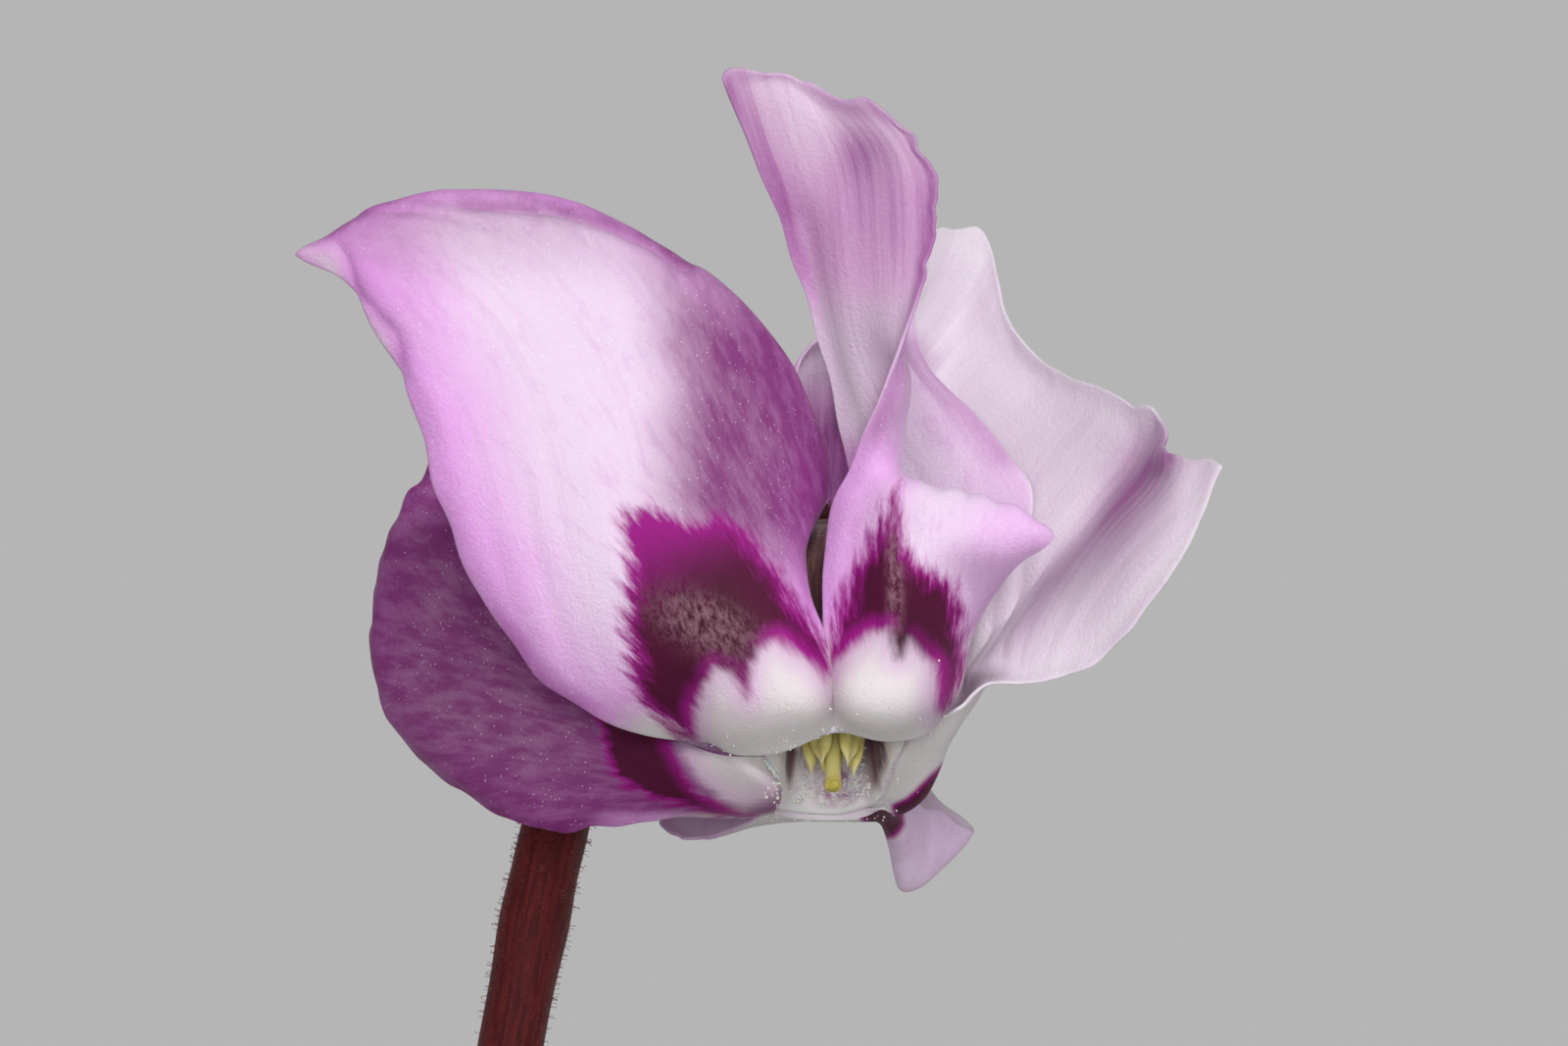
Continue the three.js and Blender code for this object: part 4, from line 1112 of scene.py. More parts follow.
def bead_spot(kind):
    """The sheet, row, column and height above the sheet where a bead of a kind sits."""
    if kind == "lip":
        place, spread = LIP_CLUSTERS[dice.integers(len(LIP_CLUSTERS))]
        column = int((360 - dice.normal(place, spread)) / 360 * TUBE_COLUMNS) % TUBE_COLUMNS
        return lip_grid, int(abs(dice.normal(0, 2.2)) + 1), column, TUBE_THICKNESS / 2
    if kind == "nose end":
        x, z = seen_from_front(left)
        aside, above = dice.normal(0, 0.06), dice.normal(0, 0.26)
        away = np.hypot(x - NOSE_END[0] - aside, z - NOSE_END[1] - above)
        row, column = np.unravel_index(np.argmin(away), away.shape)
        return left, row, column, PETAL_THICKNESS / 2
    grid = front_grids[dice.choice(5, p=BEAD_PETALS)]
    row = min(int(abs(dice.normal(0, 7))), 40)
    return grid, row, int(dice.integers(4, PETAL_COLUMNS - 4)), PETAL_THICKNESS / 2


print(BEAD_COUNT, "beads in", len(BEAD_KINDS), "kinds of place")

# %% Beads of sap
BEAD_SIDES = 8
sap = Finish("sap_bead", Roughness=0.08, IOR=1.38, Subsurface_Weight=0.4, Subsurface_Scale=0.0001)
clear = sap.cloud(sap.place(), 3, 2).step(0.3, 0.7)
sap.wear("Base Color", clear.mix(paint(236, 214, 222), paint(255, 250, 240)))
bead_form = Form()
for _ in range(BEAD_COUNT):
    kind = dice.choice(list(BEAD_KINDS), p=list(BEAD_KINDS.values()))
    grid, row, column, lift = bead_spot(kind)
    size = dice.uniform(0.014, 0.034) * (0.7 if kind == "scattered" else 1.1)
    row = min(row, grid.shape[0] - 2)
    column = min(column, grid.shape[1] - 2)
    slide, shift = dice.uniform(0, 1, 2)
    place = grid[row, column] * (1 - slide) + grid[row + 1, column] * slide
    place = place + (grid[row, column + 1] - grid[row, column]) * shift
    centre = place + sheet_normals(grid)[row, column] * (lift + 0.4 * size) + FLOWER
    bead_form.add(ball(BEAD_SIDES) * size + centre, capped_faces(BALL_RINGS, BEAD_SIDES))
beads = bead_form.build("flower_1_sap_beads", [sap])
print(bead_form.count, "points in the beads")

# %% [markdown]
# Five anthers lean together round the style. Each is a flattened spindle with a groove
# between its two pollen sacs and a pointed tip. The style ends in a small flat stigma.

# %% Anther finish
def anther_finish():
    """Pale yellow, greener in the grooves, dusted with pollen."""
    made = Finish("anther", Roughness=0.6, Subsurface_Weight=0.3, Subsurface_Scale=0.0002)
    where, tip = made.place(), made.trait("tip")
    dust = made.cloud(where, 14, 4, 0.7)
    soft = made.cloud(where, 3, 2)
    colour = soft.step(0.35, 0.65).mix(paint(206, 196, 104), paint(232, 222, 138))
    colour = (dust.step(0.55, 0.7) * 0.6).mix(colour, paint(244, 236, 176))
    colour = (tip.step(0.75, 1.0) * 0.7).mix(colour, paint(240, 228, 190))
    colour = (made.trait("groove") * 0.5).mix(colour, paint(140, 118, 58))
    made.wear("Base Color", colour)
    made.relief(dust, 0.02)
    return made


anther_coat = anther_finish()
print("the anthers use", len(anther_coat.tree.nodes), "nodes")

# %% Anthers
ANTHERS = 5
ANTHER_SIDES = 20


def sway(number, salt):
    """The same repeatable value between -1 and 1 as the CAD model uses."""
    return math.sin(number * 12.9 + salt * 7.7)


def ended(values, sides, first, last):
    """A value for each ring, repeated round it, and one for each end point."""
    return np.append(np.repeat(values, sides), [first, last])


def anthers(form, place, reach=0.2, low=0.45, seed=0):
    """Five anthers round the axis; place puts core points into the world."""
    for k in range(ANTHERS):
        lean = 0.05 * sway(seed + k, 3)
        path = curve_through([[0.62, 0, 3.3], [0.6 + lean, 0, 2.2], [0.56 + lean, 0, 1.3],
                              [0.5 + lean, 0, low + 0.25], [0.46 + lean, 0, low - 0.15]], 22)
        share = np.linspace(0, 1, len(path))
        plump = 0.5 + 0.7 * np.sin(math.pi * share ** 0.8) ** 0.8
        width = reach * plump * (1 - rise(share, 0.72, 1.0) * 0.9)
        angles = np.arange(ANTHER_SIDES) * math.tau / ANTHER_SIDES
        groove = np.exp(-(np.angle(np.exp(1j * angles)) / 0.35) ** 2)
        size = width[:, None] * (1 - 0.32 * groove)
        rings = np.stack([path[:, :1] + size * 0.62 * np.cos(angles), size * np.sin(angles),
                          path[:, 2:] + 0 * size], -1)
        rings = turn_about(rings, "z", 360 / ANTHERS * k + 18 + 6 * sway(seed + k, 5))
        rings, share = rings[::-1], share[::-1]
        points = np.concatenate([rings.reshape(-1, 3), [rings[0].mean(0)], [rings[-1].mean(0)]])
        tip = ended(share, ANTHER_SIDES, 1, 0)
        cleft = np.append(np.tile(groove, len(path)), [0, 0])
        form.add(place(points), capped_faces(len(path), ANTHER_SIDES), 0, tip=tip, groove=cleft)


print(ANTHERS, "anthers round the style")

# %% Style and stigma
STYLE_SIDES = 20


def turned(profile, segments):
    """Points of a body of revolution about Z; profile is [radius, height] pairs."""
    profile = np.asarray(profile, float)
    angles = np.arange(segments) * math.tau / segments
    x = profile[:, :1] * np.cos(angles)
    y = profile[:, :1] * np.sin(angles)
    z = np.repeat(profile[:, 1:], segments, axis=1)
    return np.stack([x, y, z], -1)


def style(form, place, slot=0, radius=0.15, end=-0.33):
    """The style down the middle, widened at its flat stigma."""
    profile = [[0.0, end], [radius * 0.9, end], [radius * 1.16, end + 0.04], [radius * 1.12, end + 0.14],
               [radius * 0.92, end + 0.4], [radius * 0.95, 1.0], [radius * 0.8, 3.6], [0.0, 3.6]]
    rings = turned(profile, STYLE_SIDES)
    faces = grid_faces(*rings.shape[:2], closed=True)
    tip = np.repeat(rise(rings[:, 0, 2], 0.2, end), STYLE_SIDES)
    form.add(place(rings), faces, slot, tip=tip, groove=0)


def stigma_finish():
    """Pale yellow style, greener at the stigma."""
    made = Finish("stigma", Roughness=0.3, Subsurface_Weight=0.3, Subsurface_Scale=0.0002)
    grain = made.cloud(made.place(), 12, 3)
    green = grain.step(0.4, 0.6).mix(paint(196, 180, 70), paint(222, 208, 106))
    made.wear("Base Color", made.trait("tip").step(0.5, 1).mix(paint(226, 216, 140), green))
    made.relief(grain, 0.02)
    return made


stigma_coat = stigma_finish()
print("the stigma uses", len(stigma_coat.tree.nodes), "nodes")

# %% Anthers and style of the front flower
def core_piece(name, make, finishes, rounds=1):
    """Builds one piece of a flower's core and hides the CAD node it stands for."""
    form = Form()
    make(form)
    made = form.build(name, finishes)
    if rounds:
        soften(made, rounds)
    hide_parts(name)


def front_anthers(form):
    anthers(form, in_front_core, 0.23, 0.15)


core_piece("flower_1_anthers", front_anthers, [anther_coat])
core_piece("flower_1_style", lambda form: style(form, in_front_core), [stigma_coat])
print("anthers and style of the front flower made")

# %% [markdown]
# The calyx is five brown sepals, pressed to the tube, under the stalk's end. They are dry
# and hairy, so a rough finish with fine hairs of bumps suits them.

# %% Calyx finish
def calyx_finish():
    """Dull red-brown with tan streaks and a down of hairs."""
    made = Finish("calyx", Roughness=0.75, Sheen_Weight=0.35, Sheen_Roughness=0.5)
    where = made.place()
    line = made.cloud(made.vector(made.trait("across"), made.trait("along") * 0.1, 2.0), 7, 3, 0.7)
    fine = made.cloud(where, 11, 3, 0.7)
    colour = line.step(0.42, 0.66).mix(paint(62, 28, 32), paint(112, 68, 56))
    colour = (fine.step(0.5, 0.75) * 0.5).mix(colour, paint(82, 48, 46))
    colour = (1 - made.trait("edge").step(0.02, 0.2)).mix(colour, paint(56, 24, 34))
    made.wear("Base Color", colour)
    made.relief(line * 0.8 + fine, 0.05)
    return made


calyx_coat = calyx_finish()
print("the calyx uses", len(calyx_coat.tree.nodes), "nodes")

# %% Calyx
CALYX_HEIGHT = 4.45
SEPALS = 5
SEPAL_SIDES = (1, 0.5, 0, -0.5, -1)
# Distance out, height and half width of a sepal from its root to its tip.
SEPAL = [
    [0.75, CALYX_HEIGHT + 0.4, 0.45], [1.5, CALYX_HEIGHT + 0.05, 0.6], [1.9, 4.1, 0.62],
    [2.06, 3.2, 0.56], [2.1, 2.5, 0.46], [2.14, 1.9, 0.26], [2.15, 1.5, 0.06],
]


def calyx(form, place, hug=1.0):
    """The disc under the stalk's end and five sepals that lie along the tube; hug draws them in."""
    lower, upper = CALYX_HEIGHT, CALYX_HEIGHT + 0.7
    disc = turned([[0, lower], [0.8, lower], [1.1, lower + 0.12], [1.15, lower + 0.35],
                   [1.0, upper - 0.12], [0.75, upper], [0, upper]], 40)
    form.add(place(disc), grid_faces(*disc.shape[:2], closed=True), 0, edge=1, across=0, along=0)
    for k in range(SEPALS):
        net = [[[1 + (out - 1) * hug - 0.14 * side ** 2, side * half, up] for side in SEPAL_SIDES]
               for out, up, half in SEPAL[::-1]]
        grid = smooth_grid(net, 30, 13)
        along, across, edge = spans(grid)
        grid = grid + sheet_normals(grid) * (0.03 * drift(across, along, k, reach=0.8))[..., None]
        grid = place(turn_about(grid, "z", 360 / SEPALS * k + 36))
        add_sheet(form, grid, 0.24, dict(edge=edge, across=across, along=along), slots=(0, 0))


core_piece("flower_1_calyx", lambda form: calyx(form, in_front_core), [calyx_coat])
print("core of the front flower made")

# %% [markdown]
# ## Stalks
# A cyclamen's flower stalk is a slim reddish-brown stem that hooks over at the top, with
# short hairs, each ending in a tiny gland. The routes repeat the CAD's, apart from the front
# stalk's hook, which follows the photo. The hairs are real geometry, too fine to see except
# near the camera.

# %% Stalk finishes
def stalk_finish():
    """Red-brown, streaked lengthwise, greener low down."""
    made = Finish("stalk", Roughness=0.5, Subsurface_Weight=0.1, Subsurface_Scale=0.0004,
                  Sheen_Weight=0.05, Specular_IOR_Level=0.2)
    where, up = made.place(), made.trait("up")
    line = made.cloud(made.vector(made.trait("turn") * 0.02, up * 0.12, 1.0), 6, 4, 0.65)
    fine = made.cloud(where, 5, 4, 0.7)
    colour = line.step(0.38, 0.64).mix(paint(74, 12, 16), paint(104, 24, 26))
    colour = (fine.step(0.5, 0.75) * 0.35).mix(colour, paint(134, 50, 46))
    colour = (fine.step(0.3, 0.2) * 0.5).mix(colour, paint(58, 24, 28))
    low = (1 - made.trait("share").step(0.04, 0.26)) * 0.45
    colour = low.mix(colour, paint(126, 112, 70))
    made.wear("Base Color", colour)
    made.wear("Roughness", 0.4 + fine * 0.3)
    made.relief(line * 0.7 + fine * 0.8, 0.05)
    return made


def hair_finish():
    """Pale hairs with a brown gland at the tip."""
    made = Finish("stalk_hair", Roughness=0.4)
    speck = made.cloud(made.place(), 2, 2).step(0.4, 0.6)
    shade = speck.mix(paint(168, 108, 96), paint(128, 72, 64))
    made.wear("Base Color", made.trait("tip").step(0.7, 0.9).mix(shade, paint(150, 78, 70)))
    return made


stalk_coat, hair_coat = stalk_finish(), hair_finish()
print("the stalk uses", len(stalk_coat.tree.nodes), "nodes")

# %% A stalk
PEDICEL_RADIUS = 0.65


def tube_rings(path, radius, sides):
    """Rings round a smooth path. radius is one number or one for each point."""
    path = np.asarray(path, float)
    heading = unit(np.gradient(path, axis=0))
    side = unit(np.cross(heading[0], [0.31, 0.87, 0.22]))
    rings = []
    radii = np.broadcast_to(radius, (len(path),))
    angles = np.arange(sides) * math.tau / sides
    for place, ahead, size in zip(path, heading, radii):
        side = unit(side - ahead * np.dot(side, ahead))
        up = np.cross(ahead, side)
        ring = np.outer(np.cos(angles), side) + np.outer(np.sin(angles), up)
        rings.append(place + size * ring)
    return np.array(rings)


def stalk(form, path, sides, seed):
    """A stem with a slightly uneven skin, wider where it meets the crown."""
    count = len(path)
    share = np.linspace(0, 1, count)
    uneven = 0.03 * drift(share * 60, 0 * share, seed, reach=0.3)
    size = PEDICEL_RADIUS * (1 + 0.12 * (1 - rise(share, 0, 0.06)) + uneven)
    rings = tube_rings(path, size, sides)
    gap = np.linalg.norm(np.diff(path, axis=0), axis=-1)
    up = np.concatenate([[0], np.cumsum(gap)])
    angle = np.arange(sides) * 360 / sides
    waver = drift(up[:, None] * 0.8, angle[None] / 40, seed + 5, reach=0.35)
    middle = rings.mean(1, keepdims=True)
    rings = middle + (rings - middle) * (1 + 0.035 * waver[..., None])
    points = np.concatenate([rings.reshape(-1, 3), [path[0], path[-1]]])
    form.add(points, capped_faces(count, sides), 0, turn=np.append(np.tile(angle, count), [0, 0]),
             up=ended(up, sides, 0, up[-1]), share=ended(share, sides, 0, 1))
    return rings


print("a stalk is", 2 * PEDICEL_RADIUS, "mm thick")

# %% Hairs
HAIR_LENGTH, HAIR_RADIUS, HAIR_SLOT = 0.13, 0.009, 1
HAIR_START = 0.12
# How far along a hair its stations are, and how wide it is there.
HAIR_STATIONS = [(0.0, 1.0), (0.55, 0.6), (0.82, 0.5), (0.93, 1.3), (1.0, 0.5)]
hair_faces = grid_faces(len(HAIR_STATIONS), 3, closed=True) + [(2, 1, 0), (12, 13, 14)]
hair_tips = np.repeat([step for step, width in HAIR_STATIONS], 3)


def hair(root, lean, along, size):
    """Corners of one tapered hair, three round each station."""
    side = unit(np.cross(lean, along + 0.01)) * HAIR_RADIUS
    other = np.cross(lean, side)
    base = root - lean * 0.02
    tip = root + lean * size
    corners = []
    for step, width in HAIR_STATIONS:
        centre = base + (tip - base) * step
        corners += [centre + side * width, centre - side * 0.5 * width + other * 0.87 * width,
                    centre - side * 0.5 * width - other * 0.87 * width]
    return corners


def hairs(form, rings, count, dice):
    """Short hairs standing on a stem, above its foot."""
    middle = rings.mean(1, keepdims=True)
    outward = unit(rings - middle)
    along = unit(np.gradient(middle[:, 0], axis=0))
    first = int(HAIR_START * len(rings))
    for _ in range(count):
        i = int(dice.integers(max(first, 1), len(rings) - 1))
        j = int(dice.integers(rings.shape[1]))
        slide = dice.uniform(-0.5, 0.5)
        root = rings[i, j] + slide * (rings[min(i + 1, len(rings) - 1), j] - rings[i, j])
        lean = unit(outward[i, j] + along[i] * dice.uniform(-0.4, 0.5) + dice.normal(0, 0.18, 3))
        size = HAIR_LENGTH * dice.uniform(0.5, 1.15)
        form.add(hair(root, lean, along[i], size), hair_faces, HAIR_SLOT, tip=hair_tips)


print("a hair is", HAIR_LENGTH, "mm long")

# %% Where stalks start
STEM_LIFT = 0.7
LEAF_TOP = 112
TUBER_RADIUS, TUBER_HALF_HEIGHT, TUBER_CENTRE = 21, 11, 66


def crown_height(radius):
    """Height of the tuber's upper side at a distance from its axis."""
    return TUBER_CENTRE + TUBER_HALF_HEIGHT * np.sqrt(1 - (radius / TUBER_RADIUS) ** 2)


def polar(radius, angle, height):
    """A place at a distance and angle round the pot's axis."""
    turn = math.radians(angle)
    return np.array([radius * math.cos(turn), radius * math.sin(turn), height])


print("the crown's top is", TUBER_CENTRE + TUBER_HALF_HEIGHT, "mm up")

# %% Front stalk
FRONT_ROOT, FRONT_BEND = (5, -38), (9, -38)
FRONT_HOOK = np.array([
    [-6.2, 6.0, -5.4], [-5.2, 6.7, -0.8], [-4.0, 6.5, 2.3], [-2.2, 5.1, 3.95], [-0.8, 3.5, 4.4],
])


def stalk_piece(name, route, steps, sides, seed, hair_count, hair_seed):
    """Builds a hairy stalk and hides the CAD node it stands for."""
    form = Form()
    rings = stalk(form, curve_through(route, steps), sides, seed)
    hairs(form, rings, hair_count, np.random.default_rng(hair_seed))
    made = form.build(name, [stalk_coat, hair_coat])
    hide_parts(name)
    return rings


over_mouth = in_front_core(np.array([[0, 0, CALYX_HEIGHT + 0.4]]))
crown_start = polar(*FRONT_ROOT, crown_height(FRONT_ROOT[0]) + STEM_LIFT)
front_route = [[crown_start, polar(*FRONT_BEND, LEAF_TOP)], FRONT_HOOK + FLOWER, over_mouth]
front_route = np.concatenate(front_route)
rings = stalk_piece("flower_1_pedicel", front_route, 220, 32, 1, 3200, 21)
steps = np.linalg.norm(np.diff(rings.mean(1), axis=0), axis=-1)
print("front stalk", round(float(steps.sum())), "mm long")

# %% [markdown]
# ## The other flowers and the buds
# They are the same kind of flower, freshly turned back: five petals that rise from the
# mouth, each with a twist, round a short tube. Each petal is a sheet through stations
# given by distance out, height, half width and twist. A bud is the same corolla before it
# turns back: five petals rolled round each other into a pointed spindle.

# %% Frames of the other heads
# Places are distance, angle and height round the pot's axis; nod is in degrees.
STALKS = [
    dict(name="flower_2", place=[28, -128, 143], root=[5, -128], bend=[9, -128], nod=24),
    dict(name="flower_3", place=[29, 160, 147], root=[5, 155], bend=[9, 158], nod=30),
    dict(name="flower_4", place=[30, 111, 149], root=[5, 115], bend=[9, 113], nod=26),
    dict(name="flower_5", place=[31, 38, 127], root=[5, 38], bend=[9, 38], nod=34),
    dict(name="flower_6", place=[11.5, 198, 153], root=[1.6, 190], bend=[4, 195], nod=18),
    dict(name="bud_1", place=[9, 65, 130], root=[1.8, 62], bend=[5, 65], nod=12),
    dict(name="bud_2", place=[25, -70, 130], root=[1.8, -70], bend=[5, -70], nod=20),
    dict(name="bud_3", place=[32, 206, 135], root=[5, 205], bend=[8.5, 206], nod=20),
]
PEDICEL_END = CALYX_HEIGHT + 1.0
HOOK = [[-7.5, 0.6], [-6.7, 5.2], [-4.2, 8.0], [-1.5, 8.4], [0, PEDICEL_END + 0.9], [0, PEDICEL_END]]


def head_frame(place, nod):
    """From a head's own frame, mouth at the origin and x outward, to the world."""
    def placed(points):
        return turn_about(turn_about(points, "y", -nod), "z", place[1]) + polar(*place)
    return placed


print(len(STALKS), "more heads")

# %% One plain petal
# Distance out, height, half width and twist of a petal from its foot to its tip.
PETAL_STATIONS = [
    [1.45, 0.3, 0.8, 0], [2.8, -0.3, 1.4, 0], [3.6, 1.4, 1.9, 6], [4.6, 4.8, 3.2, 18],
    [6.0, 8.4, 3.5, 32], [7.0, 11.4, 2.2, 44], [7.4, 13.0, 0.5, 52],
]
BLOTCH_HALF_WIDTH = 2.3


def plain_markings(along, across, reach):
    """Blotch and nose of a petal seen flat: a dark oval with two white lobes at its foot."""
    oval = np.hypot(across / BLOTCH_HALF_WIDTH, (along - 0.5 * reach) / (0.5 * reach))
    blotch = (1 - oval) * 1.9
    lobes = np.minimum(np.hypot(across - 0.7, along - 0.9), np.hypot(across + 0.7, along - 0.9))
    return blotch, 1.1 - lobes


def plain_petal(seed, rows=56, columns=31):
    """A turned-back petal in the head's frame, before it is turned to its place."""
    spread = 1.6 * sway(seed, 1)
    turn = 1 + 0.25 * sway(seed, 2)
    net = []
    for out, up, half, twist in PETAL_STATIONS:
        angle = math.radians(twist * turn)
        reach = out + spread * (up / 12 if up > 1 else 0)
        net.append([[reach + side * half * math.sin(angle) - 0.12 * half * side ** 2,
                     side * half * math.cos(angle), up] for side in (-1, -0.5, 0, 0.5, 1)])
    plain = smooth_grid(net, rows, columns)
    along, across, edge = spans(plain)
    grid = livened(plain, 60 + seed, wave=0.16, ragged=0.07, tip_ragged=0.1, curl=0.25)
    blotch, nose = plain_markings(along, across, 4.7 + 0.3 * sway(seed, 3))
    # On these petals the shade-and-tone trait is a small darkening that differs at random from petal to
    # petal.
    traits = dict(along=along, across=across, edge=edge, blotch=blotch, nose=nose, sheen=0.0,
                  fan=np.arctan2(across, along + 0.3) * 2.5,
                  bright=rise(along, 2.6, 4.6), deep=0.12 + 0.12 * sway(seed, 4), pink=0.45, petal=seed)
    return grid, traits


print("a plain petal is", plain_petal(0)[1]["along"].max().round(1), "mm long")

# %% Plain corolla
PETAL_ANGLES = [0, 62, 122, 238, 298]
PLAIN_TUBE_ROWS, PLAIN_TUBE_COLUMNS = 16, 72
PLAIN_PETAL_THICKNESS = 0.26


def corolla(form, place, number):
    """Tube and five petals, grown together."""
    around = np.arange(PLAIN_TUBE_COLUMNS) * math.tau / PLAIN_TUBE_COLUMNS
    share = np.linspace(0, 1, PLAIN_TUBE_ROWS)[:, None]
    radius = 1.15 + 0.38 * (1 - share) ** 2 + 0.03 * np.cos(5 * around)
    up = -0.1 + (TUBE_LENGTH + 0.1) * share + 0 * around
    wall = np.stack([radius * np.cos(around), radius * np.sin(around), up], -1)[:, ::-1]
    traits = dict(edge=share * TUBE_LENGTH, turn=np.degrees(around)[::-1], up=up)
    add_sheet(form, place(wall), TUBE_THICKNESS, traits, slots=(2, 3), closed=True, thin=0.6)
    for k, angle in enumerate(PETAL_ANGLES):
        grid, traits = plain_petal(number * len(PETAL_ANGLES) + k)
        add_sheet(form, place(turn_about(grid, "z", angle)), PLAIN_PETAL_THICKNESS, traits, taper=3)


print("each corolla has", len(PETAL_ANGLES), "petals")

# %% Bud petals
BUD_PROFILE = [
    [0.0, -8.0], [0.45, -7.5], [0.9, -6.56], [1.55, -5.0], [2.0, -3.2], [2.05, -1.6], [1.9, -0.2],
    [1.35, 1.36], [1.3, 2.6], [1.25, 4.0],
]
BUD_ROWS, BUD_SIDES = 72, 120
BUD_FOLDS = 5
BUD_TWIST = 150
FOLD_HEIGHT, FOLD_EDGE = 0.16, 0.93


def bud_petals(form, place, seed):
    """Five petals rolled into a spindle; each overlaps the next along a spiral step."""
    profile = curve_through(BUD_PROFILE, BUD_ROWS)
    angle = np.arange(BUD_SIDES) * 360 / BUD_SIDES
    share = np.linspace(0, 1, BUD_ROWS)[:, None]
    phase = np.mod((angle[None] + BUD_TWIST * (1 - share) ** 1.3 + 40 * seed) * BUD_FOLDS / 360, 1)
    step = FOLD_HEIGHT * rise(phase, 0, FOLD_EDGE) * (1 - rise(phase, FOLD_EDGE, 1.0))
    fade = rise(share, 1.0, 0.72) * rise(share, 0.0, 0.1)
    radius = profile[:, :1] * (1 - 0.06 * fade) + step * fade * 1.1
    turn = np.radians(angle)[None]
    rings = np.stack([radius * np.cos(turn), radius * np.sin(turn), profile[:, 1:] + 0 * radius], -1)
    ends = [[0, 0, BUD_PROFILE[0][1]], [0, 0, BUD_PROFILE[-1][1]]]
    points = np.concatenate([rings.reshape(-1, 3), ends])
    seam = np.minimum(phase, 1 - phase)
    traits = dict(share=share + 0 * radius, seam=seam * fade + (1 - fade), turn=angle[None] + 0 * radius)
    for name, values in traits.items():
        flat = values.reshape(-1)
        traits[name] = np.append(flat, [flat[0], flat[-1]])
    form.add(place(points), capped_faces(BUD_ROWS, BUD_SIDES), 0, **traits)


print("a bud's petals are", BUD_PROFILE[-1][1] - BUD_PROFILE[0][1], "mm long")

# %% Bud finish
def bud_finish():
    """Pink, deepest at the seams and the tip, with fine lines; whitish toward the calyx."""
    made = Finish("bud", Roughness=0.42, Subsurface_Weight=0.25, Subsurface_Scale=0.0006,
                  Sheen_Weight=0.12)
    share, where = made.trait("share"), made.place()
    line = made.cloud(made.vector(made.trait("turn") * 0.04, share * 1.5, 2.0), 4, 4, 0.65)
    soft = made.cloud(where, 0.8, 3)
    colour = (share + (soft - 0.5) * 0.2).step(0.75, 0.15).mix(paint(226, 196, 214), paint(196, 92, 172))
    colour = (line.step(0.48, 0.66) * 0.4).mix(colour, paint(170, 64, 148))
    colour = ((1 - made.trait("seam").step(0.0, 0.12)) * 0.6).mix(colour, paint(132, 34, 108))
    made.wear("Base Color", colour)
    made.relief(line + soft, 0.04)
    return made


bud_coat = bud_finish()
print("the bud uses", len(bud_coat.tree.nodes), "nodes")

# %% Build heads and stalks
BUD_HUG = 0.52


def flower_head(name, place, number):
    """The corolla, stamens and style of one more flower."""
    core_piece(name + "_corolla", lambda form: corolla(form, place, number),
               PETAL_COATS + [throat_coat, tube_coat], rounds=0)

    def heart(form):
        anthers(form, place, seed=number)
        style(form, place, slot=1)

    core_piece(name + "_stamens_and_style", heart, [anther_coat, stigma_coat], rounds=0)


def bud_head(name, place, number):
    core_piece(name + "_petals", lambda form: bud_petals(form, place, number), [bud_coat],
               rounds=0)


for number, row in enumerate(STALKS):
    name, place = row["name"], head_frame(row["place"], row["nod"])
    is_bud = name.startswith("bud")
    hug = BUD_HUG if is_bud else 1.0
    core_piece(name + "_calyx", lambda form: calyx(form, place, hug), [calyx_coat], rounds=0)
    (bud_head if is_bud else flower_head)(name, place, number)
    crown_start = polar(*row["root"], crown_height(row["root"][0]) + STEM_LIFT)
    hook = place(np.array([[out, 0, up] for out, up in HOOK]))
    route = np.concatenate([[crown_start, polar(*row["bend"], LEAF_TOP)], hook])
    stalk_piece(name + "_pedicel", route, 160, 18, 30 + number, 700, 40 + number)
print(sum(row["name"].startswith("bud") for row in STALKS), "of the heads are buds")

# %% [markdown]
# ## Leaves
# A hardy cyclamen's leaf is a rounded kidney, dark green with a pewter band, purple
# underneath, on a fleshy stem that joins it at the notch. The blade could be a flat disc
# with a bumpy finish, but its quilted surface catches light along every vein, so the veins
# are worked out first: a fan of main veins that fork on the way out. Their distance gives
# both the quilting of the mesh and the pattern of the finish.

# %% Leaf outline
BLADE_OFFSET = 0.22
SINUS_ANGLE = 11


def leaf_margin(angle, width):
    """Distance from the joint to the margin; angle 0 points at the tip."""
    offset = BLADE_OFFSET * width
    circle = offset * np.cos(angle) + np.sqrt((width / 2) ** 2 - (offset * np.sin(angle)) ** 2)
    point = 0.05 * np.exp(-(angle / 0.22) ** 2)
    lobe = rise(np.abs(angle), math.radians(125), math.radians(180 - SINUS_ANGLE))
    return circle * (1 + point) * (1 - 0.22 * lobe)


print("a 35 mm leaf reaches", leaf_margin(0.0, 35).round(1), "mm from its joint")

# %% Leaf veins
MAIN_VEINS = [0, 25, 52, 82, 114, 146]
FORKS = [(0.28, 13), (0.5, 9), (0.7, 6)]


def vein_distance(share, angle, radius, seed):
    """Distance in mm to the nearest vein, counted longer for the finer ones."""
    nearest = np.full(radius.shape, 9.0)
    for side in (-1, 1):
        for k, plain in enumerate(MAIN_VEINS):
            base = math.radians(side * plain + 3 * sway(seed + k, side + 2))
            bent = base * (1 + 0.05 * share) + 0.02 * np.sin(7 * share + k + seed)
            nearest = np.minimum(nearest, radius * np.abs(angle - bent) * (0.75 + 0.5 * share))
            for start, spread in FORKS:
                out = np.clip((share - start) / (1 - start), 0, 1) ** 0.85
                for turn in (-1, 1):
                    begin = start + 0.03 * sway(seed + 3 * k, turn + 4 * start)
                    branch = bent + turn * math.radians(spread) * out
                    gap = radius * np.abs(angle - branch) * 1.7 + 9 * (share < begin)
                    nearest = np.minimum(nearest, gap)
    return nearest


print(2 * len(MAIN_VEINS), "main veins, each forks", len(FORKS), "times")

